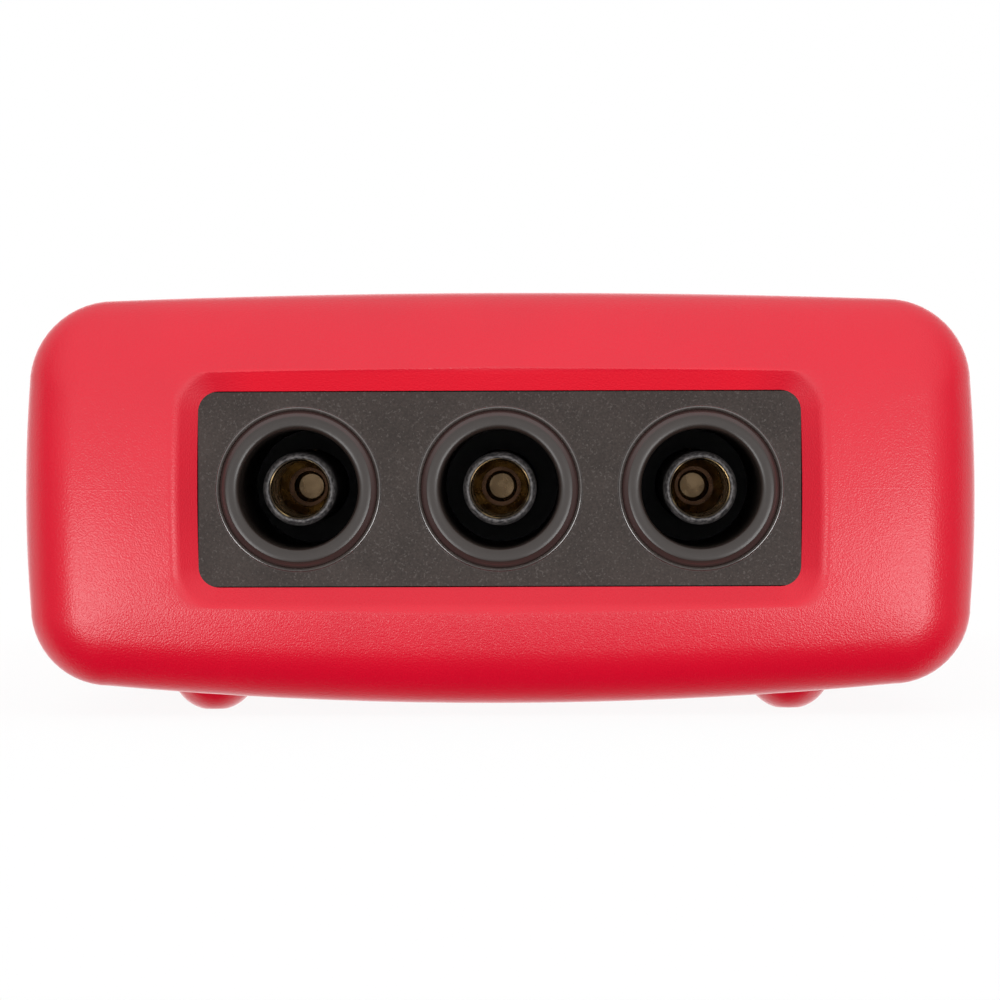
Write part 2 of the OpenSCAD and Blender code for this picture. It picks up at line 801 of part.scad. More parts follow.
module key(i) {
    l = key_places[i][2];
    w = key_places[i][3];
    color(i == 0 ? "crimson" : "lightgray") at_key(i) translate([0, 0, key_flange_z]) {
        soft_cap(l, w, panel_z + key_rise - key_flange_z, key_edge_r);
        linear_extrude(key_flange_t) capsule(l + 2 * key_flange_w, w + 2 * key_flange_w);
    }
}

module buzzer() {
    can_r = 5.5;
    can_h = ceiling_z - board_top_z - 3 * seat_fit;
    hole_r = 0.9;
    color("black") translate([0, buzzer_y, board_top_z]) difference() {
        cylinder(r = can_r, h = can_h);
        translate([0, 0, can_h / 2]) cylinder(r = hole_r, h = can_h);
    }
}

// One chip on each side of the battery bay, under the board
module control_chips() {
    color("black") for (side = [-1, 1])
        translate([side * chip_x - chip_w / 2, bay_shift - chip_l / 2, board_z - chip_h])
            cube([chip_w, chip_l, chip_h]);
}

// One resistor behind each contact, hung under the board by its soldered wires
module input_resistors() {
    drop = resistor_r + under_gap;
    y = pin_y + pin_r + 2 * resistor_wire_l;
    color("tan") for (x = socket_x) translate([x, y, board_z - drop]) {
        along_y(0) cylinder(r = resistor_r, h = resistor_l);
        along_y(-resistor_wire_l) cylinder(r = resistor_wire_r, h = resistor_l + 2 * resistor_wire_l);
        for (end = [-resistor_wire_l, resistor_l + resistor_wire_l])
            translate([0, end, -solder_r]) cylinder(r = solder_r, h = drop + solder_r);
    }
}

// A square core round a wound coil, hung under the board between two resistors
module signal_transformer() {
    color("dimgray") translate([-under_x, under_y, board_z - core_h / 2]) {
        cube([core_w, core_l, core_h], center = true);
        cube([core_w - 2 * core_limb, core_l + 2 * coil_bulge, core_h - 2 * core_limb], center = true);
    }
}

module capacitors() {
    color("navy") for (side = [-1, 1])
        translate([under_x + side * (capacitor_r + seat_fit), under_y, board_z - capacitor_h])
            cylinder(r = capacitor_r, h = capacitor_h);
}

// Battery bay

// A round cell; its nub points to +Y for turn 1 and to -Y for turn -1
module battery_cell(turn) {
    base = bay_l / 2 - terminal_t - 2 * seat_fit - cell_l;
    color("slategray") translate([turn * cell_x, bay_shift + turn * base, cell_z])
    rotate([-90 * turn, 0, 0]) {
        cylinder(r = cell_r, h = cell_l - cell_nub_l);
        cylinder(r = cell_nub_r, h = cell_l);
    }
}

spring_turns = 3.5;
spring_ring_steps = 14;
spring_wire_r = 0.4;
spring_sides = 8;
spring_base_r = 4.6;
spring_tip_r = 3;

// Points of a cone-shaped coil spring's wire, ring by ring
function spring_ring(t, l) =
    let (a = 360 * spring_turns * t, r = spring_base_r + (spring_tip_r - spring_base_r) * t,
         h = spring_wire_r + (l - 2 * spring_wire_r) * t)
    [for (k = [0:spring_sides - 1]) let (b = 360 * k / spring_sides, out = r + spring_wire_r * cos(b))
        [out * cos(a), out * sin(a), h + spring_wire_r * sin(b)]];

module coil_spring(l) {
    m = ceil(spring_turns * spring_ring_steps);
    n = spring_sides;
    polyhedron(
        points = [for (i = [0:m], p = spring_ring(i / m, l)) p],
        faces = concat(
            [[for (j = [0:n - 1]) j]],
            [for (i = [0:m - 1], j = [0:n - 1]) let (k = (j + 1) % n)
                [i * n + j, (i + 1) * n + j, (i + 1) * n + k, i * n + k]],
            [[for (j = [0:n - 1]) m * n + n - 1 - j]]));
}

module battery_springs() {
    base = terminal_t + seat_fit - bay_l / 2;
    color("silver") for (turn = [-1, 1]) translate([turn * cell_x, bay_shift + turn * base, cell_z])
        rotate([-90 * turn, 0, 0]) coil_spring(spring_l - seat_fit);
}

module battery_plates() {
    color("silver") for (sx = [-1, 1], y = [bay_y0 + seat_fit / 2, bay_y1 - terminal_t - seat_fit / 2])
        translate([sx * cell_x - terminal_w / 2, y, cell_z - terminal_h / 2])
            cube([terminal_w, terminal_t, terminal_h]);
}

module battery_door() {
    color("dimgray") difference() {
        union() {
            translate([0, 0, pad_z]) linear_extrude(door_t) {
                rounded_span(door_hw, door_y0, hinge_y, door_corner_r);
                translate([-door_hw, hinge_y - 2 * door_corner_r]) square([2 * door_hw, 2 * door_corner_r]);
            }
            translate([0, hinge_y, hinge_z]) rotate([0, 90, 0]) {
                cylinder(r = hinge_r, h = 2 * door_hw, center = true);
                cylinder(r = hinge_pin_r, h = 2 * (door_hw + hinge_pin_l), center = true);
            }
            translate([0, door_screw_y, pad_z]) cylinder(r = screw_boss_r, h = door_boss_h);
        }
        translate([0, door_screw_y, pad_z - past]) {
            cylinder(r = door_head_r + 2 * seat_fit, h = past + door_head_sink + door_head_t + seat_fit);
            cylinder(r = door_screw_r + 2 * seat_fit, h = door_boss_h + 2 * past);
        }
    }
}

module screw(shank_r, shank_l, head_r, head_t) {
    slot_w = head_r / 3;
    slot_d = head_t / 2;
    difference() {
        union() {
            cylinder(r = head_r, h = head_t);
            cylinder(r = shank_r, h = head_t + shank_l);
        }
        for (a = [0, 90]) rotate(a) translate([-0.7 * head_r, -slot_w / 2, -past])
            cube([1.4 * head_r, slot_w, slot_d + past]);
    }
}

module door_screw() {
    z = pad_z + door_head_sink;
    color("silver") translate([0, door_screw_y, z])
        screw(door_screw_r, door_screw_tip_z - z - door_head_t, door_head_r, door_head_t);
}

module door_insert() {
    color("goldenrod") translate([0, door_screw_y, insert_z]) difference() {
        cylinder(r = insert_r - sleeve_fit, h = insert_l);
        translate([0, 0, -past]) cylinder(r = insert_bore_r, h = insert_l + 2 * past);
    }
}

module case_screws() {
    tip_z = ceiling_z - 2;
    z = case_head_z - case_head_t - seat_fit;
    color("silver") at_case_screws() translate([0, 0, z])
        screw(case_screw_r, tip_z - z - case_head_t, case_head_r, case_head_t);
}

module board_screws() {
    head_r = 1.9;
    head_t = 1.2;
    tip_z = ceiling_z - 2 * seat_fit;
    z = board_z - head_t - seat_fit / 2;
    color("silver") at_board_screws() translate([0, 0, z])
        screw(board_screw_r, tip_z - z - head_t, head_r, head_t);
}

protective_boot();
front_case();
rear_case();
socket_plate();
contact_carrier();
socket_barrel(0);  // socket_barrel_left
socket_barrel(1);  // socket_barrel_centre
socket_barrel(2);  // socket_barrel_right
contact_collar(0);  // contact_collar_left
contact_collar(1);  // contact_collar_centre
contact_collar(2);  // contact_collar_right
contact_sleeve(0);  // contact_sleeve_left
contact_sleeve(1);  // contact_sleeve_centre
contact_sleeve(2);  // contact_sleeve_right
circuit_board();
lamp_lens();
lamp(0);  // lamp_left
lamp(1);  // lamp_centre
lamp(2);  // lamp_right
key_switch(0);  // power_switch
key_switch(1);  // mode_switch
key_switch(2);  // level_switch
switch_plunger(0);  // power_plunger
switch_plunger(1);  // mode_plunger
switch_plunger(2);  // level_plunger
key(0);  // power_key
key(1);  // mode_key
key(2);  // level_key
buzzer();
control_chips();
input_resistors();
signal_transformer();
capacitors();
battery_cell(-1);  // battery_cell_left
battery_cell(1);  // battery_cell_right
battery_springs();
battery_plates();
battery_door();
door_screw();
door_insert();
case_screws();
board_screws();
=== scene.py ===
import math

import bmesh
import bpy
from mathutils import Euler, Matrix, Vector


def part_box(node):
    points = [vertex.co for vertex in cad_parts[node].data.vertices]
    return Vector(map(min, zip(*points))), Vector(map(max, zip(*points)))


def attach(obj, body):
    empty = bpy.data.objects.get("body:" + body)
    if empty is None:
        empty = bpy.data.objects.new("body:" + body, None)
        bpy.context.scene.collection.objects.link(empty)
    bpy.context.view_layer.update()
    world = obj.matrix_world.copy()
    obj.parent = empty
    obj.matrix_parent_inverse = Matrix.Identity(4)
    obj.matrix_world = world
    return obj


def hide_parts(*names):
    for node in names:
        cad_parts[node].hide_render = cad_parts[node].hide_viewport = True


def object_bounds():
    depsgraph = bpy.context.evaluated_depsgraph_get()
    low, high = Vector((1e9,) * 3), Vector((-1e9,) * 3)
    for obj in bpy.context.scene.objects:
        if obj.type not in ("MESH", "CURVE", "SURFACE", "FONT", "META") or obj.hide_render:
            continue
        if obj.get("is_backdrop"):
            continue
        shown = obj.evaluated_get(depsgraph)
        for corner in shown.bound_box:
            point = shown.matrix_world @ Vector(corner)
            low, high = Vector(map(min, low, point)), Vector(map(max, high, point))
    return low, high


# A pocket circuit breaker finder, dressed piece by piece in the order in which it is put together.
# It lies on its back: +Z is the front with the keys, and -Y the end with the three lead sockets.
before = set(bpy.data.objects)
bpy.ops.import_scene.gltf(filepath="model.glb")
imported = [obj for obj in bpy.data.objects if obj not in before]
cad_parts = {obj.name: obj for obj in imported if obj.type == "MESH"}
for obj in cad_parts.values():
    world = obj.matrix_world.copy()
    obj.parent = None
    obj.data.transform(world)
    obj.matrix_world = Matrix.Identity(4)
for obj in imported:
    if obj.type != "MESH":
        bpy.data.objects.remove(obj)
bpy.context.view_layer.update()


# Rear case: the lower half of the housing, injection moulded in dark grey plastic with a fine grain.
# It carries the battery bay and the socket posts, and its back pad shows through the boot's back window.

mm = 0.001
near = 0.01 * mm
weld = 0.002 * mm
flat_angle = 0.5
drift_size = 9 * mm
case_edge = 0.3 * mm


def tone(red, green, blue):
    """A screen colour, 0 to 255, as the linear colour that a shader takes."""
    parts = [part / 255 for part in (red, green, blue)]
    linear = [p / 12.92 if p <= 0.04045 else ((p + 0.055) / 1.055) ** 2.4 for p in parts]
    return (*linear, 1)


def shaded(colour, share):
    """A linear colour made lighter or darker by a share."""
    return (*[min(1, part * (1 + share)) for part in colour[:3]], 1)


class Value:
    """A shader value that can stand in a sum: each operator adds its Math node."""

    def __init__(self, finish, socket):
        self.finish = finish
        self.socket = socket

    def work(self, operation, *terms):
        return self.finish.add("ShaderNodeMath", {"operation": operation}, dict(enumerate(terms)))

    def __add__(self, other):
        return self.work("ADD", self, other)

    def __radd__(self, other):
        return self.work("ADD", other, self)

    def __sub__(self, other):
        return self.work("SUBTRACT", self, other)

    def __rsub__(self, other):
        return self.work("SUBTRACT", other, self)

    def __mul__(self, other):
        return self.work("MULTIPLY", self, other)

    def __rmul__(self, other):
        return self.work("MULTIPLY", other, self)

    def __pow__(self, other):
        return self.work("POWER", self, other)

    def __lt__(self, other):
        return self.work("LESS_THAN", self, other)

    def __gt__(self, other):
        return self.work("GREATER_THAN", self, other)

    def __or__(self, other):
        return self.work("MAXIMUM", self, other)

    def __abs__(self):
        return self.work("ABSOLUTE", self)


class Finish:
    """A material or a world, built from nodes that read the piece's own coordinates."""

    def __init__(self, owner, place="Object"):
        self.owner = owner
        owner.use_nodes = True
        owner.node_tree.nodes.clear()
        self.place = self.add("ShaderNodeTexCoord", pick=place)

    def add(self, kind, settings=None, sockets=None, pick=0):
        """Adds a node with these settings and socket values or links, and gives one of its outputs."""
        node = self.owner.node_tree.nodes.new(kind)
        for name, setting in (settings or {}).items():
            setattr(node, name, setting)
        for name, value in (sockets or {}).items():
            if isinstance(value, Value):
                self.owner.node_tree.links.new(value.socket, node.inputs[name])
            else:
                node.inputs[name].default_value = value
        return Value(self, node.outputs[pick]) if len(node.outputs) else None

    def noise(self, size, detail=2.0):
        """Cloudy noise from 0 to 1 with lumps of about this size."""
        sockets = {"Vector": self.place, "Scale": 1 / size, "Detail": detail}
        return self.add("ShaderNodeTexNoise", {}, sockets)

    def along(self, axis):
        """The distance along one axis."""
        return self.add("ShaderNodeSeparateXYZ", {}, {"Vector": self.place}, pick=axis)

    def mix(self, share, first, second):
        """The first colour where share is 0, and the second where it is 1."""
        return self.add("ShaderNodeMix", {"data_type": "RGBA"}, {0: share, 6: first, 7: second}, pick=2)

    def ramp(self, value, low, high):
        """The value from low to high, stretched to run from 0 to 1."""
        return self.add("ShaderNodeMapRange", {}, {"Value": value, "From Min": low, "From Max": high})

    def relief(self, height, depth):
        """Surface relief of this depth, for the shader's Normal."""
        return self.add("ShaderNodeBump", {}, {"Height": height, "Distance": depth, "Strength": 1.0})

    def surface(self, sockets):
        """Ends the material in one shader with these sockets."""
        shader = self.add("ShaderNodeBsdfPrincipled", {}, sockets)
        self.add("ShaderNodeOutputMaterial", {}, {"Surface": shader})
        return self.owner


def moulded(name, colour, roughness, grain, depth, mottle=0.12):
    """Moulded plastic: a fine raised grain, and a colour and gloss that drift a little."""
    finish = Finish(bpy.data.materials.new(name))
    drift = finish.noise(drift_size, 4)
    pits = finish.noise(grain, 3)
    spread = finish.ramp(0.5 * drift + 0.5 * pits, 0.3, 0.7)
    return finish.surface({
        "Base Color": finish.mix(spread, shaded(colour, -mottle), shaded(colour, mottle)),
        "Roughness": roughness - 0.05 + 0.1 * drift,
        "Normal": finish.relief(pits, depth),
    })


def take_up(piece):
    """Makes a piece the only selected one, for the operators that follow."""
    bpy.ops.object.select_all(action="DESELECT")
    piece.select_set(True)
    bpy.context.view_layer.objects.active = piece


def cast_from(node, name):
    """A new piece with a solid's shape, its loose triangles merged into whole faces."""
    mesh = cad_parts[node].data.copy()
    mesh.materials.clear()
    piece = bpy.data.objects.new(name, mesh)
    bpy.context.scene.collection.objects.link(piece)
    take_up(piece)
    bpy.ops.mesh.customdata_custom_splitnormals_clear()
    bpy.ops.object.mode_set(mode="EDIT")
    bpy.ops.mesh.select_all(action="SELECT")
    bpy.ops.mesh.remove_doubles(threshold=weld)
    bpy.ops.mesh.dissolve_limited(angle_limit=math.radians(flat_angle))
    bpy.ops.object.mode_set(mode="OBJECT")
    return piece


def soften(piece, width, wanted, steps=3, sharp=30):
    """Rounds the sharp edges whose middle passes the test."""
    take_up(piece)
    bpy.ops.object.mode_set(mode="EDIT")
    bpy.ops.mesh.select_mode(type="EDGE")
    bpy.ops.mesh.select_all(action="DESELECT")
    mesh = bmesh.from_edit_mesh(piece.data)
    for edge in mesh.edges:
        middle = (edge.verts[0].co + edge.verts[1].co) / 2
        turn = edge.calc_face_angle(0)
        edge.select_set(turn > math.radians(sharp) and wanted(middle))
    bmesh.update_edit_mesh(piece.data)
    bpy.ops.mesh.bevel(offset=width, segments=steps, affect="EDGES", clamp_overlap=True)
    bpy.ops.object.mode_set(mode="OBJECT")


def fit(piece, body, material, node, smooth=35):
    """Smooths and finishes a piece, and puts it in its solid's place."""
    take_up(piece)
    bpy.ops.object.shade_smooth_by_angle(angle=math.radians(smooth))
    bpy.ops.object.modifier_add(type="WEIGHTED_NORMAL")
    piece.modifiers[-1].keep_sharp = True
    bpy.ops.object.modifier_apply(modifier=piece.modifiers[-1].name)
    piece.data.materials.clear()
    piece.data.materials.append(material)
    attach(piece, body)
    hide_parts(node)


case_grey = tone(58, 58, 60)
case_plastic = moulded("case_plastic", case_grey, roughness=0.5, grain=0.3 * mm, depth=0.02 * mm)
rear_shell = cast_from("rear_case", "rear_shell")
pad_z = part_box("rear_case")[0].z
soften(rear_shell, case_edge, lambda p: p.z < pad_z + near)
fit(rear_shell, "case", case_plastic, "rear_case")


# Contact carrier: a flat plastic bar behind the lead sockets, out of sight.
# It drops into two slotted posts of the rear case, closes the barrels and centres the contacts.

carrier_grey = tone(40, 40, 42)
carrier_plastic = moulded("carrier_plastic", carrier_grey, roughness=0.55, grain=0.4 * mm, depth=0.01 * mm)


def coat(material, *nodes):
    """Gives solids that keep their shape a material."""
    for node in nodes:
        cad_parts[node].data.materials.clear()
        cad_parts[node].data.materials.append(material)


coat(carrier_plastic, "contact_carrier")


# Lead contacts: three turned brass tubes with a stepped bore for a 4 mm plug, tarnished in patches, with
# painted shade on the rim and in the bore, and painted light on its floor.
# Each stands in its collar, and its pin is soldered to the board.

sockets = ["left", "centre", "right"]
brass_light = tone(146, 126, 90)
brass_dark = tone(98, 76, 50)
# Painted shade for the contact's rim and its deep step, and painted light for its floor.
painted_rim_shade = tone(52, 44, 34)
painted_floor_light = tone(106, 89, 68)
painted_step_shade = tone(64, 46, 34)
contact_edge = 0.14 * mm
contact_step, contact_floor = 13 * mm, 16.8 * mm
lathe_scale, lathe_depth = 9000, 0.006 * mm
stop_r, stop_wall, stop_depth, stop_t = 1.16 * mm, 0.5 * mm, 14.2 * mm, 0.8 * mm
floor_r, floor_depth = 0.95 * mm, 17.03 * mm
ring_steps = 96
across_y = (math.pi / 2, 0, 0)


def settle(name):
    """Names the piece just added, and takes its place and size into its mesh."""
    piece = bpy.context.object
    piece.name = name
    take_up(piece)
    bpy.ops.object.transform_apply(location=True, rotation=True, scale=True)
    return piece


def turned(name, x, z, profile):
    """A ring turned about an axis along Y, by a circle that follows a closed profile of radius and y."""
    start_r, start_y = profile[0]
    bpy.ops.mesh.primitive_circle_add(
        vertices=ring_steps, radius=start_r, location=(x, start_y, z), rotation=across_y)
    piece = settle(name)
    bpy.ops.object.mode_set(mode="EDIT")
    bpy.ops.mesh.select_all(action="SELECT")
    for (radius, y), (next_radius, next_y) in zip(profile, profile[1:] + profile[:1]):
        bpy.ops.mesh.extrude_region_move(TRANSFORM_OT_translate={"value": (0, next_y - y, 0)})
        swell = next_radius / radius
        bpy.ops.transform.resize(value=(swell, 1, swell), center_override=(x, next_y, z))
    bpy.ops.mesh.select_all(action="SELECT")
    bpy.ops.mesh.remove_doubles(threshold=weld / 2)
    bpy.ops.mesh.normals_make_consistent(inside=False)
    bpy.ops.object.mode_set(mode="OBJECT")
    return piece


def combine(piece, tool, operation):
    """Joins a tool shape to a piece, or cuts it out, and clears the tool away."""
    take_up(piece)
    bpy.ops.object.modifier_add(type="BOOLEAN")
    piece.modifiers[-1].object = tool
    piece.modifiers[-1].operation = operation
    piece.modifiers[-1].solver = "EXACT"
    bpy.ops.object.modifier_apply(modifier=piece.modifiers[-1].name)
    bpy.data.objects.remove(tool)


brass = Finish(bpy.data.materials.new("contact_brass"))
depth_along = brass.along("Y")
lathe_sockets = {"W": depth_along, "Scale": lathe_scale}
lathe_marks = brass.add("ShaderNodeTexNoise", {"noise_dimensions": "1D"}, lathe_sockets)
tarnish = brass.ramp(brass.noise(1.2 * mm, 4), 0.35, 0.65)
mouth_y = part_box("contact_sleeve_centre")[0].y
# Past the step the bore is painted a darker brown as painted shade, and its flat floor a tan as painted
# light.
bore_floor = depth_along > mouth_y + contact_floor
bore_step = depth_along > mouth_y + contact_step
# Painted shade on the rim: it is painted dark brown, left bright in patches as painted glints.
painted_lip = (depth_along < mouth_y + contact_edge) * brass.ramp(brass.noise(2 * mm), 0.35, 0.5)
rim_brass = brass.mix(painted_lip, brass.mix(tarnish, brass_light, brass_dark), painted_rim_shade)
contact_brass = brass.surface({
    "Base Color": brass.mix(bore_floor, brass.mix(bore_step, rim_brass, painted_step_shade), painted_floor_light),
    "Metallic": 1.0,
    "Roughness": 0.2 + 0.14 * tarnish,
    "Normal": brass.relief(lathe_marks, lathe_depth),
})

for side in sockets:
    contact = cast_from(f"contact_sleeve_{side}", f"lead_contact_{side}")
    soften(contact, contact_edge, lambda p: p.y < mouth_y + near)
    low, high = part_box(f"contact_collar_{side}")
    x, z = (low.x + high.x) / 2, (low.z + high.z) / 2
    stop_y, floor_y = mouth_y + stop_depth, mouth_y + floor_depth
    stop = turned("stop", x, z, [(stop_r, stop_y), (stop_r + stop_wall, stop_y),
                                 (stop_r + stop_wall, stop_y + stop_t), (stop_r, stop_y + stop_t)])
    combine(contact, stop, "UNION")
    bpy.ops.mesh.primitive_cylinder_add(
        vertices=ring_steps, radius=floor_r, depth=stop_t,
        location=(x, floor_y + stop_t / 2, z), rotation=across_y)
    combine(contact, settle("bottom"), "UNION")
    fit(contact, "case", contact_brass, f"contact_sleeve_{side}")


# Contact collars: thin dark insulating tubes that stand in the barrels and hide the rims of the contacts.
# They are turned from plastic, with a round nose that reaches in over the rim and is scuffed by plugs.

collar_dark = tone(44, 42, 43)
collar_scuffed = tone(98, 94, 93)
collar_wall = 0.28 * mm
collar_lip, collar_crest, collar_brow = 2.14 * mm, 2.27 * mm, 2.58 * mm
lip_fall, brow_fall, collar_shoulder = 0.2 * mm, 0.42 * mm, 0.7 * mm
collar_steps = 5
rim_gap = 0.05 * mm

worn = Finish(bpy.data.materials.new("collar_plastic"))
scuff = worn.ramp(worn.noise(0.22 * mm, 3), 0.42, 0.66)
collar_plastic = worn.surface({
    "Base Color": worn.mix(scuff, collar_dark, collar_scuffed),
    "Roughness": 0.34 + 0.16 * scuff,
    "Normal": worn.relief(scuff, 0.006 * mm),
})
for side in sockets:
    low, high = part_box(f"contact_collar_{side}")
    outer_r = (high.x - low.x) / 2
    inner_r = outer_r - collar_wall
    profile = []
    for step in range(collar_steps):
        angle = math.pi / 2 * (1 - step / collar_steps)
        profile.append((collar_crest - (collar_crest - collar_lip) * math.sin(angle),
                        low.y + lip_fall * (1 - math.cos(angle))))
    for step in range(collar_steps + 1):
        share = step / collar_steps
        brow_r = collar_crest + (collar_brow - collar_crest) * share
        profile.append((brow_r, low.y + brow_fall * share ** 2))
    profile += [(outer_r, low.y + collar_shoulder), (outer_r, high.y), (inner_r, high.y),
                (inner_r, mouth_y - rim_gap), (collar_lip, mouth_y - rim_gap)]
    collar = turned(f"insulating_collar_{side}", (low.x + high.x) / 2, (low.z + high.z) / 2, profile)
    fit(collar, "case", collar_plastic, f"contact_collar_{side}")


# Socket barrels: three shrouds that take the plug of a safety lead, moulded in smooth charcoal plastic.
# Each stands a little proud of the plate, with a round nose and a bevelled flank painted browner, as a
# painted reflection of the red boot.
# A flange behind the plate holds it.

barrel_grey = tone(40, 32, 28)
flank_painted_reflection = tone(60, 44, 42)
barrel_bore = 4.2 * mm
barrel_wall = 1.5 * mm
nose_crest, nose_drop = 0.65 * mm, 0.5 * mm
shoulder_w, shoulder_drop = 0.3 * mm, 0.05 * mm
flank_rim, flank_blend = 5.62 * mm, 0.04 * mm
nose_steps = 10
flank_gloss = 0.14
flange_gap, flange_t = 0.05 * mm, 1.5 * mm

barrel_low, barrel_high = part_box("socket_barrel_centre")
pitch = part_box("socket_barrel_right")[0].x - barrel_low.x
socket_z = (barrel_low.z + barrel_high.z) / 2


def from_axis(finish):
    """The distance from the axis of the nearest socket."""
    across = abs(finish.along("X"))
    height = finish.along("Z") - socket_z
    aside = across - pitch * (across > pitch / 2)
    return (aside * aside + height * height) ** 0.5


smooth = Finish(bpy.data.materials.new("barrel_plastic"))
drift = smooth.noise(drift_size, 4)
pits = smooth.noise(0.35 * mm, 3)
flank_r = barrel_bore + nose_crest + shoulder_w
# The flank is painted browner, a painted reflection of the red boot, and it is glossier too.
flank = smooth.ramp(from_axis(smooth), flank_r - flank_blend, flank_r + flank_blend)
mottled = smooth.mix(smooth.ramp(0.5 * drift + 0.5 * pits, 0.3, 0.7),
                     shaded(barrel_grey, -0.12), shaded(barrel_grey, 0.12))
barrel_plastic = smooth.surface({
    "Base Color": smooth.mix(flank, mottled, flank_painted_reflection),
    "Roughness": 0.29 + 0.1 * drift - (0.34 - flank_gloss) * flank,
    "Normal": smooth.relief(pits, 0.004 * mm),
})
plate_back_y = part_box("socket_plate")[1].y
barrel_rim = barrel_bore + barrel_wall
barrel_flange = (barrel_high.x - barrel_low.x) / 2
flange_y = plate_back_y + flange_gap
flange_back_y = flange_y + flange_t
nose = []
for step in range(nose_steps + 1):
    share = 1 - step / nose_steps
    nose.append((barrel_bore + nose_crest * (1 - share),
                 barrel_low.y + nose_drop * (1 - (1 - share ** 3) ** (1 / 3))))
for step in range(1, nose_steps + 1):
    share = step / nose_steps
    nose.append((barrel_bore + nose_crest + shoulder_w * share, barrel_low.y + shoulder_drop * share ** 2))
nose.append((flank_rim, barrel_low.y + nose_drop))
flange = [(barrel_rim, flange_y), (barrel_flange, flange_y),
          (barrel_flange, flange_back_y), (barrel_rim, flange_back_y)]
barrel_profile = nose + flange + [(barrel_rim, barrel_high.y), (barrel_bore, barrel_high.y)]
for side in sockets:
    low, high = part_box(f"socket_barrel_{side}")
    barrel = turned(f"plug_barrel_{side}", (low.x + high.x) / 2, (low.z + high.z) / 2, barrel_profile)
    fit(barrel, "case", barrel_plastic, f"socket_barrel_{side}")


# Socket plate: the dark face round the three barrels, in charcoal plastic with a fine speckled grain.
# It is held in the end of the case halves by its flange, and a fine bead runs round each hole.

plate_grey = tone(54, 47, 44)
speck_grey = tone(74, 68, 65)
plate_mottle = 0.25
plate_flange = 1.2 * mm
bead_ring, bead_r, bead_sink, bead_steps = 5.72 * mm, 0.15 * mm, 0.05 * mm, 16

matt = Finish(bpy.data.materials.new("plate_plastic"))
bead_mask = abs(from_axis(matt) - bead_ring - bead_r / 2) < bead_r / 2
pits = matt.noise(0.15 * mm, 3)
patches = matt.noise(3 * mm, 3)
specks = matt.ramp(matt.noise(0.16 * mm, 1), 0.6, 0.75)
mottle = matt.ramp(0.4 * patches + 0.6 * pits, 0.36, 0.64)
grey = matt.mix(mottle, shaded(plate_grey, -plate_mottle), shaded(plate_grey, plate_mottle))
plate_plastic = matt.surface({
    "Base Color": matt.mix(specks, grey, speck_grey),
    "Roughness": 0.42 + 0.1 * pits,
    "Coat Weight": bead_mask,
    "Coat Roughness": 0.12,
    "Coat IOR": 1.8,
    "Normal": matt.relief(pits, 0.02 * mm),
    "Specular IOR Level": 0.15,
})
socket_plate = cast_from("socket_plate", "socket_face")
plate_low, plate_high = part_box("socket_plate")
face_y = plate_low.y
for side in sockets:
    low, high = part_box(f"socket_barrel_{side}")
    bead_place = ((low.x + high.x) / 2, face_y + bead_sink, (low.z + high.z) / 2)
    bpy.ops.mesh.primitive_torus_add(
        major_segments=ring_steps, minor_segments=bead_steps, major_radius=bead_ring, minor_radius=bead_r,
        location=bead_place, rotation=across_y)
    combine(socket_plate, settle("bead"), "UNION")
fit(socket_plate, "case", plate_plastic, "socket_plate")


# Circuit board and its parts: a green glass-fibre board with the switches, lamps, buzzer and signal parts.
# It hangs from the front case on four screws, and little of it shows through the lens.

weave_scale, weave_depth = 900, 0.01 * mm


def plated(name, light, dark, roughness, spread, size, detail):
    """Plated metal that is darker and duller in patches of about this size."""
    finish = Finish(bpy.data.materials.new(name))
    patches = finish.noise(size, detail)
    return finish.surface({
        "Base Color": finish.mix(patches, light, dark),
        "Metallic": 1.0,
        "Roughness": roughness + spread * patches,
    })


board = Finish(bpy.data.materials.new("board_laminate"))
weave_sockets = {"Vector": board.place, "Scale": weave_scale, "Distortion": 2}
weave = board.add("ShaderNodeTexWave", {"wave_type": "BANDS"}, weave_sockets)
board_laminate = board.surface({
    "Base Color": board.mix(board.noise(6 * mm), tone(18, 88, 52), tone(30, 112, 66)),
    "Roughness": 0.35 + 0.1 * weave,
    "Normal": board.relief(weave, weave_depth),
})
switch_steel = plated("switch_metal", tone(190, 190, 188), tone(150, 150, 150),
                      roughness=0.25, spread=0.2, size=0.6 * mm, detail=5)
plunger_plastic = moulded("plunger_plastic", tone(30, 30, 32),
                          roughness=0.45, grain=0.3 * mm, depth=0.008 * mm)
component_black = moulded("component_black", tone(28, 28, 30),
                          roughness=0.6, grain=0.2 * mm, depth=0.01 * mm)
resistor_tan = moulded("resistor_tan", tone(196, 164, 120),
                       roughness=0.4, grain=0.3 * mm, depth=0.01 * mm)
core_ferrite = moulded("core_ferrite", tone(70, 66, 64),
                       roughness=0.7, grain=0.25 * mm, depth=0.02 * mm, mottle=0.25)
capacitor_film = moulded("capacitor_film", tone(40, 54, 110),
                         roughness=0.3, grain=0.6 * mm, depth=0.005 * mm)

coat(board_laminate, "circuit_board")
coat(switch_steel, "power_switch", "mode_switch", "level_switch", "board_screws", "case_screws")
coat(plunger_plastic, "power_plunger", "mode_plunger", "level_plunger")
coat(component_black, "buzzer", "control_chips")
coat(resistor_tan, "input_resistors")
coat(core_ferrite, "signal_transformer")
coat(capacitor_film, "capacitors")


# Lamps: three round-topped signal lamps of tinted clear resin on the board, green, amber and red.
# Each has a small flange at its foot, where its two legs enter the board.

lamp_tints = {"left": tone(60, 190, 90), "centre": tone(240, 170, 40), "right": tone(225, 40, 40)}

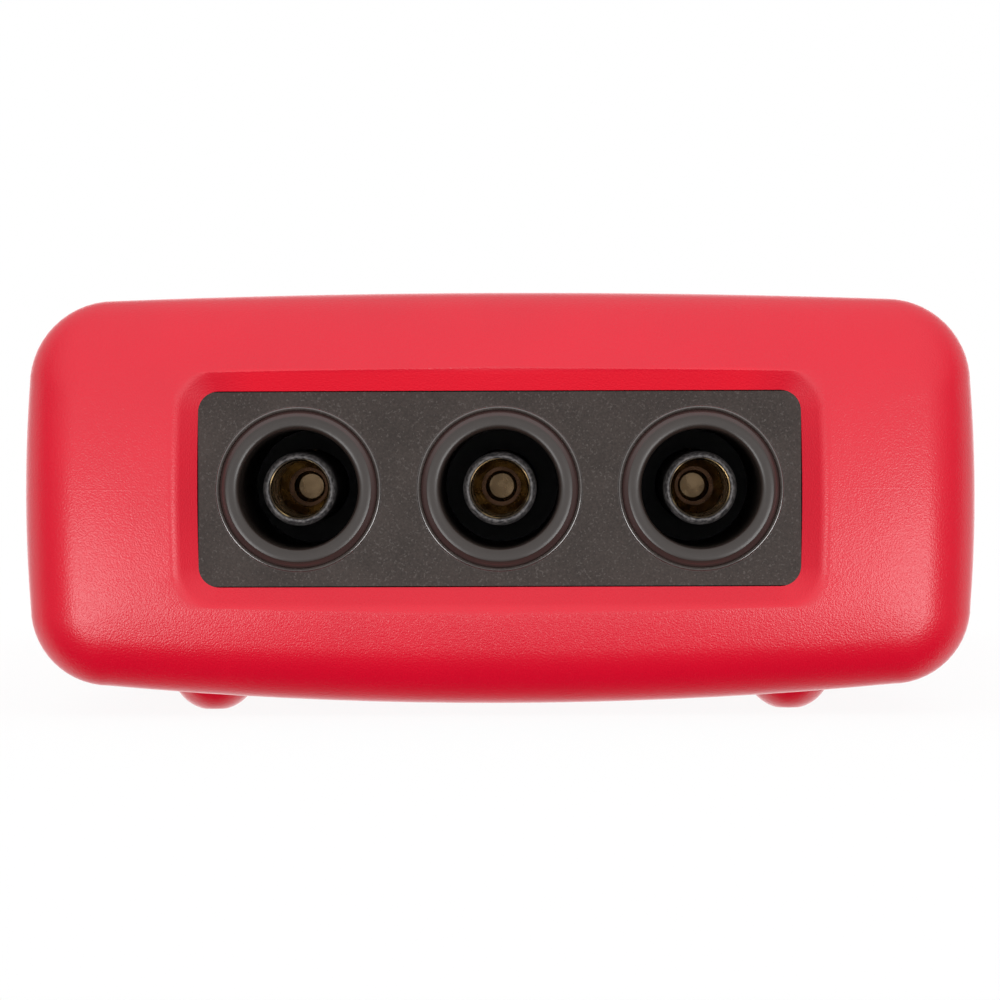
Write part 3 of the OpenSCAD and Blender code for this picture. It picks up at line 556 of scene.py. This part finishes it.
for side in sockets:
    resin = Finish(bpy.data.materials.new(f"lamp_resin_{side}"))
    cloud = resin.noise(1.1 * mm)
    lamp_resin = resin.surface({
        "Base Color": resin.mix(cloud, shaded(lamp_tints[side], -0.2), shaded(lamp_tints[side], 0.2)),
        "Roughness": 0.12 + 0.08 * cloud,
        "IOR": 1.5,
        "Transmission Weight": 0.4,
    })
    lamp = cast_from(f"lamp_{side}", f"signal_lamp_{side}")
    fit(lamp, "case", lamp_resin, f"lamp_{side}")


# Front case: the upper half of the housing, moulded in the same dark grey plastic as the rear case.
# Its panel rises into the boot's window, with key holes, a seat for the lens and slots for the sound.

panel_edge = 0.35 * mm

front_shell = cast_from("front_case", "front_shell")
panel_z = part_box("front_case")[1].z
soften(front_shell, panel_edge, lambda p: p.z > panel_z - near)
fit(front_shell, "case", case_plastic, "front_case")


# Lamp lens: a window of smoked clear plastic, flush in its seat in the front case, over the lamps.
# It is cut from sheet with round corners and a polished edge.

lens_corner = 1.9 * mm
lens_edge = 0.25 * mm


def upright(low, high):
    """A test for the upright edges of a block."""
    return lambda p: abs(p.z - (low + high) / 2) < near


def block(name, low, high, corner_r, rounded, steps=10):
    """A block between two corners, with the edges that pass the test rounded."""
    low, high = Vector(low), Vector(high)
    bpy.ops.mesh.primitive_cube_add(size=1, location=(low + high) / 2, scale=high - low)
    piece = settle(name)
    soften(piece, corner_r, rounded, steps=steps)
    return piece


smoke = Finish(bpy.data.materials.new("smoked_lens"))
haze = smoke.noise(5 * mm, 3)
smoked_lens = smoke.surface({
    "Base Color": smoke.mix(haze, tone(208, 205, 208), tone(220, 217, 219)),
    "Roughness": 0.06 + 0.05 * haze,
    "IOR": 1.49,
    "Transmission Weight": 1.0,
})
lens_low, lens_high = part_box("lamp_lens")
lens = block("lamp_window", lens_low, lens_high, lens_corner, upright(lens_low.z, lens_high.z))
soften(lens, lens_edge, lambda p: p.z > lens_high.z - near)
fit(lens, "case", smoked_lens, "lamp_lens")


# Keys: three soft-touch caps with dished tops that stand proud of the panel, each with a printed sign.
# A flange behind the panel keeps each one in, and it presses the plunger of a switch on the board.

key_flange, key_flange_t = 1.1 * mm, 0.9 * mm
key_edge, key_steps = 0.7 * mm, 64
dish_rim, dish_depth = 1.0 * mm, 0.3 * mm
key_grey = tone(168, 168, 164)
power_red = tone(196, 34, 44)
sign_dark = tone(40, 40, 44)
sign_white = tone(236, 236, 230)
line = 0.35 * mm
power_ring, power_gap, power_bar_y, power_bar_half = 2.6 * mm, 1.1 * mm, 2.2 * mm, 1.5 * mm
mode_ring, mode_dot = 1.9 * mm, 0.7 * mm
level_foot, level_pitch, level_rise, level_half = -1.8 * mm, 1.7 * mm, 1.2 * mm, 0.55 * mm


def key_cap(name, node):
    """A capsule-shaped cap: a disc stretched to length, raised from its flange, and dished on top."""
    low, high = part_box(node)
    centre = (low + high) / 2
    width, length = sorted((high.x - low.x, high.y - low.y))
    bpy.ops.mesh.primitive_circle_add(
        vertices=key_steps, radius=width / 2, fill_type="NGON", location=(centre.x, centre.y, low.z))
    cap = settle(name)
    for vertex in cap.data.vertices:
        across = vertex.co.x - centre.x
        if abs(across) > near:
            vertex.co.x += math.copysign((length - width) / 2, across)
    bpy.ops.object.mode_set(mode="EDIT")
    bpy.ops.mesh.select_mode(type="FACE")
    bpy.ops.mesh.select_all(action="SELECT")
    bpy.ops.mesh.extrude_region_move(TRANSFORM_OT_translate={"value": (0, 0, key_flange_t)})
    bpy.ops.mesh.inset(thickness=key_flange)
    cap_height = high.z - low.z - key_flange_t
    bpy.ops.mesh.extrude_region_move(TRANSFORM_OT_translate={"value": (0, 0, cap_height)})
    bpy.ops.mesh.inset(thickness=key_edge + dish_rim)
    bpy.ops.mesh.inset(thickness=2 * dish_rim)
    bpy.ops.transform.translate(value=(0, 0, -dish_depth))
    bpy.ops.mesh.select_all(action="SELECT")
    bpy.ops.mesh.normals_make_consistent(inside=False)
    bpy.ops.object.mode_set(mode="OBJECT")
    soften(cap, key_edge, lambda p: p.z > high.z - near, steps=6)
    return cap, centre


def key_finish(name, colour, sign_colour, centre, sign):
    """Soft-touch plastic with a sign printed in another colour, drawn about the key's middle."""
    finish = Finish(bpy.data.materials.new(name))
    x = (finish.along("X") - centre.x) * -1
    y = (finish.along("Y") - centre.y) * -1
    pits = finish.noise(0.25 * mm)
    plain = finish.mix(finish.noise(4 * mm), shaded(colour, -0.08), shaded(colour, 0.08))
    return finish.surface({
        "Base Color": finish.mix(sign(x, y), plain, sign_colour),
        "Roughness": 0.5 + 0.12 * pits,
        "Normal": finish.relief(pits, 0.01 * mm),
    })


def power_sign(x, y):
    """A broken ring with an upright bar in its gap."""
    radius = (x * x + y * y) ** 0.5
    ring = (abs(radius - power_ring) < line) * (1 - (abs(x) < power_gap) * (y > 0))
    bar = (abs(x) < line) * (abs(y - power_bar_y) < power_bar_half)
    return ring | bar


def mode_sign(x, y):
    """A ring with a dot."""
    radius = (x * x + y * y) ** 0.5
    return (abs(radius - mode_ring) < 0.8 * line) | (radius < mode_dot)


def level_sign(x, y):
    """Three bars of growing height on one foot line."""
    bars = 0
    for step in range(3):
        height = level_rise * (1 + step)
        upright_bar = abs(y - level_foot - height / 2) < height / 2
        bar = (abs(x - (step - 1) * level_pitch) < level_half) * upright_bar
        bars = bar | bars
    return bars


for name, colour, sign_colour, sign, slot in [
    ("power_key", power_red, sign_white, power_sign, "power_key"),
    ("mode_key", key_grey, sign_dark, mode_sign, "key"),
    ("level_key", key_grey, sign_dark, level_sign, "key"),
]:
    cap, middle = key_cap(f"{name}_cap", name)
    fit(cap, name, key_finish(f"{name}_rubber", colour, sign_colour, middle, sign), name)


# Battery cells: two round cells side by side in the bay, in plain printed sleeves with bare steel ends.
# They are dropped in from the back, nub to spring, and the door holds them.

sleeve_blue = tone(46, 62, 84)
sleeve_band = tone(176, 178, 180)
cell_steel = tone(188, 186, 180)
cell_edge, cell_bare = 0.5 * mm, 1.9 * mm
cell_shoulder = 20 * mm
band_y, band_half = 17 * mm, 1.5 * mm

for side in ["left", "right"]:
    cell = cast_from(f"battery_cell_{side}", f"round_cell_{side}")
    low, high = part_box(f"battery_cell_{side}")
    middle_y = (low.y + high.y) / 2
    reach = (high.y - low.y) / 2
    soften(cell, cell_edge, lambda p: abs(p.y - middle_y) > cell_shoulder)
    print_finish = Finish(bpy.data.materials.new(f"cell_sleeve_{side}"))
    along = print_finish.along("Y") - middle_y
    bare = abs(along) > reach - cell_bare
    band = abs(abs(along) - band_y) < band_half
    scuff = print_finish.noise(2.5 * mm, 5)
    sleeve = print_finish.mix(band, sleeve_blue, sleeve_band)
    cell_sleeve = print_finish.surface({
        "Base Color": print_finish.mix(bare, sleeve, cell_steel),
        "Metallic": bare,
        "Roughness": 0.24 + 0.2 * scuff,
    })
    fit(cell, "case", cell_sleeve, f"battery_cell_{side}")


# Battery springs and plates: coiled steel wire and flat terminals, both nickel plated.
# A spring sits on a terminal at one end of each cell, and the terminals stand in the bay's end walls.

nickel_plate = plated("nickel_plate", tone(206, 204, 196), tone(168, 166, 158),
                      roughness=0.18, spread=0.18, size=1.5 * mm, detail=5)
spring_coils = cast_from("battery_springs", "spring_coils")
fit(spring_coils, "case", nickel_plate, "battery_springs", smooth=60)
coat(nickel_plate, "battery_plates")


# Door insert: a short brass nut, pressed warm into a turret of the rear case for the door's screw.
# It is turned from bar, as the contacts are.

insert = cast_from("door_insert", "threaded_insert")
fit(insert, "case", contact_brass, "door_insert")


# Battery door: a flat lid of the case's plastic in the back pad, hinged on two pins at one end.
# It swings out and down, and a captive screw holds its free end.

door_edge = 0.3 * mm

door = cast_from("battery_door", "bay_door")
door_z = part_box("battery_door")[0].z
soften(door, door_edge, lambda p: p.z < door_z + near)
fit(door, "battery_door", case_plastic, "battery_door")


# Door screw: a small cross-slotted steel screw with a flat head, sunk in the door's boss.
# Its head is turned and its slot stamped, and the plating is dulled in patches.

screw_edge = 0.2 * mm

screw_steel = plated("screw_steel", tone(196, 196, 194), tone(140, 140, 142),
                     roughness=0.22, spread=0.22, size=0.7 * mm, detail=4)
screw = cast_from("door_screw", "captive_screw")
head_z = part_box("door_screw")[0].z
soften(screw, screw_edge, lambda p: p.z < head_z + near)
fit(screw, "battery_door", screw_steel, "door_screw")


# Protective boot: one soft moulding of red elastomer with a satin grain, stretched over the closed case.
# It has a crowned section with rounded ends, windows on three sides, four dome feet and a faint mould line.

boot_red = (0.59, 0.0012, 0.0185, 1)
# A lighter red that paints light on the bevel above the sockets.
painted_lit_red = (0.74, 0.0012, 0.0185, 1)
boot_low, boot_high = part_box("protective_boot")
back_z = 0.8 * mm
top_r, back_r = 6.0 * mm, 5.6 * mm
top_crown, back_crown, side_crown, end_crown = 0.5 * mm, 1.3 * mm, 0.3 * mm, 0.12 * mm
end_depth, end_side, end_top, end_back, end_corner = 4.2 * mm, 3.8 * mm, 5.2 * mm, 4.0 * mm, 1.8 * mm
fillet_turn = math.radians(86)
dome_x, dome_z, dome_lift, dome_flat = 0.82 * mm, 0.75 * mm, 0.4 * mm, 12 * mm
dome_run_x, dome_run_z = 18 * mm, 10 * mm
face_shares, far_shares = (0.2, 0.4, 0.6, 0.8), (0.1, 0.2, 0.35, 0.6)
corner_steps, side_steps, front_steps, back_steps, fillet_steps, body_steps = 14, 10, 18, 18, 16, 8
boot_wall_gap = 0.15 * mm
lip_edge = 0.5 * mm

window_w = plate_high.x - plate_low.x - 2 * plate_flange
window_h = plate_high.z - plate_low.z - 2 * plate_flange
window_z = (plate_low.z + plate_high.z) / 2
window_r, window_bow = 1.4 * mm, 0.08 * mm
window_gap, seat_depth = 0.08 * mm, 3.5 * mm
bevel_w, crest_r, crest_steps, crest_bow = 1.6 * mm, 0.5 * mm, 5, 0.12
corner_share, crest_limit = 0.8, 0.8


def bulged_outline(half_width, low, high, front_r, rear_r, front_bulge, rear_bulge, side_bulge):
    """Points (x, z) round a rectangle with bulged edges and round corners, right side first."""

    def arc(x, z, radius, start):
        angles = [math.radians(start + 90 * step / corner_steps) for step in range(corner_steps + 1)]
        return [Vector((x + radius * math.cos(a), z + radius * math.sin(a))) for a in angles]

    def between(steps):
        return [2 * step / steps - 1 for step in range(1, steps)]

    front_x, rear_x = half_width - side_bulge - front_r, half_width - side_bulge - rear_r
    front_z, rear_z = high - front_bulge - front_r, low + rear_bulge + rear_r
    middle, half = (front_z + rear_z) / 2, (front_z - rear_z) / 2
    right = [Vector((half_width - side_bulge * s * s, middle + half * s)) for s in between(side_steps)]
    left = [Vector((-p.x, 2 * middle - p.y)) for p in right]
    front = [Vector((-s * front_x, high - front_bulge * s * s)) for s in between(front_steps)]
    rear = [Vector((s * rear_x, low + rear_bulge * s * s)) for s in between(back_steps)]
    return (right + arc(front_x, front_z, front_r, 0) + front + arc(-front_x, front_z, front_r, 90)
            + left + arc(-rear_x, rear_z, rear_r, 180) + rear + arc(rear_x, rear_z, rear_r, 270))


def boot_outline(share):
    """The boot's outline where its end rounding has drawn it in by this share."""
    low, high = back_z + share * end_back, boot_high.z - share * end_top
    shrink = (high - low) / (boot_high.z - back_z)
    return bulged_outline(boot_high.x - share * end_side, low, high,
                          top_r + share * (end_corner - top_r), back_r + share * (end_corner - back_r),
                          top_crown * shrink, back_crown * shrink, side_crown * shrink)


def window_outline(grow):
    """The socket plate's outline, grown all round."""
    half_height = window_h / 2 + grow
    corner = window_r + corner_share * grow
    bow = crest_bow * grow
    return bulged_outline(window_w / 2 + grow, window_z - half_height, window_z + half_height,
                          corner, corner, bow, bow, window_bow)


body_outline, face_outline = boot_outline(0), boot_outline(1)


def dome(p, end):
    """How far an end's face falls back from its middle at (x, z)."""
    lift = dome_lift if end < 0 else 0
    aside = max(0, abs(p.x) - dome_flat)
    return dome_x * (aside / dome_run_x) ** 2 + dome_z * ((p.y - window_z) / dome_run_z) ** 2 - lift


def fillet_ring(step, end):
    """One ring of an end's rounding, from the body at step 0 to the face."""
    angle = fillet_turn * step / fillet_steps
    share = (1 - math.cos(angle)) / (1 - math.cos(fillet_turn))
    reach = math.sin(angle) / math.sin(fillet_turn)
    ring = []
    for p in boot_outline(share):
        fall = end_crown + end_depth * (1 - reach) + reach * dome(p, end)
        ring.append(Vector((p.x, end * (boot_high.y - fall), p.y)))
    return ring


edge_slopes = []
for body, edge in zip(body_outline, face_outline):
    steep = end_depth / (edge - body).length
    edge_slopes.append(steep * math.cos(fillet_turn) / (1 + math.cos(fillet_turn)))


def on_face(p, end):
    """The point of an end's face at (x, z), which leaves the rounding at its slope and levels out."""
    nearest, slope = math.inf, 0
    for step, edge in enumerate(face_outline):
        along = edge - face_outline[step - 1]
        share = min(1, max(0, (p - face_outline[step - 1]).dot(along) / along.length_squared))
        gap = (p - face_outline[step - 1] - share * along).length
        if gap < nearest:
            nearest = gap
            slope = edge_slopes[step - 1] + share * (edge_slopes[step] - edge_slopes[step - 1])
    run = 2 * end_crown / slope
    fall = end_crown * (1 - min(nearest, run) / run) ** 2
    return Vector((p.x, end * (boot_high.y - fall - dome(p, end)), p.y))


def flat_ring(outline, y):
    return [Vector((p.x, y, p.y)) for p in outline]


def between_rings(first, second, share):
    return [a.lerp(b, share) for a, b in zip(first, second)]


# The bevel round the socket window runs from the plate to a rounded crest on the end face.
seat = flat_ring(window_outline(window_gap), boot_low.y + seat_depth)
foot_ring = flat_ring(window_outline(window_gap), face_y)
crest_outline = window_outline(bevel_w)
crest = [on_face(p, -1) for p in crest_outline]
inner = [c + (f - c).normalized() * crest_r for c, f in zip(crest, foot_ring)]
outer = []
for p, edge in zip(crest_outline, face_outline):
    away = edge - p
    outer.append(p + away.normalized() * min(crest_r, crest_limit * away.length))
outer_ring = [on_face(p, -1) for p in outer]
rings = [seat, foot_ring]
for step in range(crest_steps + 1):
    share = step / crest_steps
    rising, falling = between_rings(inner, crest, share), between_rings(crest, outer_ring, share)
    rings.append(between_rings(rising, falling, share))
for share in face_shares:
    rings.append([on_face(p.lerp(edge, share), -1) for p, edge in zip(outer, face_outline)])
rings += [fillet_ring(fillet_steps - step, -1) for step in range(fillet_steps)]
body_y = boot_high.y - end_crown - end_depth
rings += [flat_ring(body_outline, body_y * (2 * step / body_steps - 1)) for step in range(body_steps + 1)]
rings += [fillet_ring(step + 1, 1) for step in range(fillet_steps)]
face_middle = Vector((0, window_z))
for share in far_shares:
    rings.append([on_face(p.lerp(face_middle, share), 1) for p in face_outline])


def lofted(name, rings):
    """A closed skin through rings of equally many points: a circle extruded from ring to ring."""
    count = len(rings[0])
    bpy.ops.mesh.primitive_circle_add(vertices=count, radius=boot_high.x, fill_type="NGON")
    piece = settle(name)
    bpy.ops.object.mode_set(mode="EDIT")
    bpy.ops.mesh.select_mode(type="VERT")
    for step, ring in enumerate(rings):
        if step:
            bpy.ops.mesh.extrude_region_move()
        mesh = bmesh.from_edit_mesh(piece.data)
        mesh.verts.ensure_lookup_table()
        for vertex, place in zip(mesh.verts[-count:], ring):
            vertex.co = place
        bmesh.update_edit_mesh(piece.data)
    bpy.ops.mesh.select_all(action="SELECT")
    bpy.ops.mesh.normals_make_consistent(inside=False)
    bpy.ops.object.mode_set(mode="OBJECT")
    return piece


boot = lofted("soft_boot", rings)

# The feet are low domes cut from balls, flat where they stand.
foot_r, foot_flat, foot_spread = 2.9 * mm, 0.9 * mm, 1.07
foot_x, foot_y, foot_z = 20.9 * mm, boot_high.y - 12.5 * mm, math.sqrt(foot_r ** 2 - foot_flat ** 2)
for side in (-1, 1):
    for end in (-1, 1):
        bpy.ops.mesh.primitive_uv_sphere_add(
            segments=64, ring_count=48, radius=foot_r, location=(side * foot_x, end * foot_y, foot_z),
            scale=(foot_spread, foot_spread, 1))
        foot = settle("foot")
        bpy.ops.object.mode_set(mode="EDIT")
        bpy.ops.mesh.select_all(action="SELECT")
        bpy.ops.mesh.bisect(plane_co=(0, 0, 0), plane_no=(0, 0, 1), use_fill=True, clear_inner=True,
                            threshold=weld / 2)
        bpy.ops.object.mode_set(mode="OBJECT")
        combine(boot, foot, "UNION")

# The closed case leaves its hollow in the boot, and its panel and pad show through two windows.
wall_t, lip_t, hollow_r = 2.8 * mm, 1.9 * mm, 3 * mm
shell_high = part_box("front_case")[1]
hollow_x, hollow_y = shell_high.x + boot_wall_gap, shell_high.y + boot_wall_gap
hollow = block("hollow", (-hollow_x, -hollow_y, back_z + wall_t), (hollow_x, hollow_y, boot_high.z - lip_t),
               hollow_r, lambda p: True, steps=6)
combine(boot, hollow, "DIFFERENCE")
front_x, front_y, front_corner = boot_high.x - 7 * mm, boot_high.y - 9 * mm, 5 * mm
front_low, front_high = 27 * mm, 32 * mm
front_window = block("front_window", (-front_x, -front_y, front_low), (front_x, front_y, front_high),
                     front_corner, upright(front_low, front_high))
combine(boot, front_window, "DIFFERENCE")
back_x, back_y0, back_y1, back_corner = 20.55 * mm, -28.1 * mm, 50.1 * mm, 3.5 * mm
back_low, back_high = -2 * mm, 5 * mm
back_window = block("back_window", (-back_x, back_y0, back_low), (back_x, back_y1, back_high),
                    back_corner, upright(back_low, back_high))
combine(boot, back_window, "DIFFERENCE")
lip_front_z, lip_back_z, lip_reach = 29 * mm, 3 * mm, 0.1 * mm


def on_lip(p):
    """A test for the outer edges of the front and back windows."""
    in_front = p.z > lip_front_z and abs(p.x) < front_x + lip_reach and abs(p.y) < front_y + lip_reach
    in_length = back_y0 - lip_reach < p.y < back_y1 + lip_reach
    in_back = p.z < lip_back_z and abs(p.x) < back_x + lip_reach and in_length
    return in_front or in_back


soften(boot, lip_edge, on_lip, steps=4, sharp=50)

# The bevel is duller than the rest, and above the sockets it is painted a lighter red, as painted light on
# the lip that faces down.
seam_half, seam_edge = 0.02 * mm, 0.06 * mm
bevel_in, bevel_out = bevel_w - 0.3 * mm, bevel_w + 0.1 * mm
painted_lip_fade = 4 * mm
grain_size, grain_depth = 0.12 * mm, 0.022 * mm
rubber = Finish(bpy.data.materials.new("boot_elastomer"))
across = abs(rubber.along("X"))
height = rubber.along("Z") - window_z
seam = 1 - rubber.ramp(abs(height), seam_half, seam_edge)
beside = (across - window_w / 2) | 0
above = (abs(height) - window_h / 2) | 0
bevel = 1 - rubber.ramp((beside * beside + above * above) ** 0.5, bevel_in, bevel_out)
bevel = bevel * (rubber.along("Y") < 0)
# The bevel above the sockets, where painted light makes the red lighter, fading out towards its corners.
painted_lip = (1 - rubber.ramp(across, window_w / 2 - painted_lip_fade, window_w / 2)) * (height > 0)
cloud = rubber.noise(7 * mm, 4)
red = rubber.mix(rubber.ramp(cloud, 0.3, 0.7), shaded(boot_red, -0.03), shaded(boot_red, 0.03))
grain = rubber.noise(grain_size, 1)
boot_elastomer = rubber.surface({
    "Base Color": rubber.mix(bevel * painted_lip, red, painted_lit_red),
    "Roughness": 0.27 + 0.06 * grain + 0.2 * bevel,
    "Normal": rubber.relief(grain + 0.12 * seam, grain_depth),
})
fit(boot, "case", boot_elastomer, "protective_boot", smooth=40)


# Studio: a translucent white table lit from above and through the sheet, with a white surround.
# The camera looks level at the socket end, from the photograph's place.

floor_half = 3.0
floor_share = 0.065
floor_near, floor_far = 0.12, 0.4
floor_white = tone(250, 250, 250)

sheet = Finish(bpy.data.materials.new("floor_sheet"))
reach = sheet.add("ShaderNodeVectorMath", {"operation": "LENGTH"}, {0: sheet.place}, pick="Value")
mirrored = sheet.add("ShaderNodeLightPath", pick="Is Glossy Ray")
opaque = floor_share * (1 - sheet.ramp(reach, floor_near, floor_far)) * (1 - mirrored)
pale = sheet.add("ShaderNodeBsdfDiffuse", {}, {"Color": floor_white})
clear = sheet.add("ShaderNodeBsdfTransparent")
floor_mix = sheet.add("ShaderNodeMixShader", {}, {0: opaque, 1: clear, 2: pale})
sheet.add("ShaderNodeOutputMaterial", {}, {"Surface": floor_mix})
bpy.ops.mesh.primitive_plane_add(size=2 * floor_half, location=(0, 0, 0))
floor = settle("studio_floor")
floor.data.materials.append(sheet.owner)
floor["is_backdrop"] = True

# The surround is white to the eye. It lights the finder from behind and above, and weakly from the front.
back_level, front_level, top_level = 1.0, 0.26, 1.0
rim_level, low_level, table_fall = 0.9, 0.4, 0.85
top_lean = math.radians(50)
behind_span, rim_span, top_span = (0.0, 0.16), (0.7, 0.92), (0.3, 0.76)
table_span, shade_span, low_span = (0.76, 1.0), (0.38, 0.61), (0.0, 0.3)
surround = Finish(bpy.data.worlds.new("studio_surround"), place="Generated")
direct = surround.add("ShaderNodeLightPath", pick="Is Camera Ray")
through = surround.add("ShaderNodeLightPath", pick="Is Transmission Ray")
seen = direct | through
depth = surround.along("Y")
rise = surround.along("Z")
fall = -1 * rise
behind = surround.ramp(depth, *behind_span)
table = 1 - table_fall * surround.ramp(fall, *table_span)
shade = 1 - surround.ramp(fall, *shade_span)
top = surround.ramp(rise * math.cos(top_lean) - depth * math.sin(top_lean), *top_span)
rim = rim_level * surround.ramp(depth, *rim_span) | low_level * surround.ramp(fall, *low_span)
level = (back_level + rim) * behind * table + front_level * (1 - behind) * shade + top_level * top
strength = seen + (1 - seen) * level
glow = surround.add("ShaderNodeBackground", {}, {"Color": (1, 1, 1, 1), "Strength": strength})
surround.add("ShaderNodeOutputWorld", {}, {"Surface": glow})
bpy.context.scene.world = surround.owner

# Two round soft lamps stand low to the left and right of the camera.
target = Vector((0, -0.067, 0.016))
lamp_reach = 0.7
for name, turn, dip, size, power in [
    ("left_lamp", -26, 18, 0.26, 1.6),
    ("right_lamp", 26, 16, 0.3, 1.88),
]:
    aim = Euler((math.radians(dip), 0, math.radians(turn))).to_matrix() @ Vector((0, -1, 0))
    place = target + lamp_reach * aim
    bpy.ops.object.light_add(type="AREA", location=place)
    lamp = bpy.context.object
    lamp.name = name
    lamp.data.shape = "DISK"
    lamp.data.size = size
    lamp.data.energy = power
    lamp.rotation_euler = (target - place).to_track_quat("-Z", "Y").to_euler()
    lamp.visible_camera = False

camera_place = (2.9 * mm, -393 * mm, 20.2 * mm)
camera_pitch, camera_yaw, camera_roll = -0.859, 0.504, -0.17
film_width, focal_length = 36, 166.6
bpy.ops.object.camera_add(location=camera_place)
camera = bpy.context.object
turn = Euler((math.radians(90 + camera_pitch), 0, math.radians(camera_yaw))).to_matrix()
camera.rotation_euler = (turn @ Matrix.Rotation(math.radians(camera_roll), 3, "Z")).to_euler()
camera.data.sensor_width = film_width
camera.data.lens = focal_length
camera.data.clip_start, camera.data.clip_end = 0.01, 20
bpy.context.scene.camera = camera
bpy.context.scene.view_settings.view_transform = "Standard"

low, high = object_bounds()
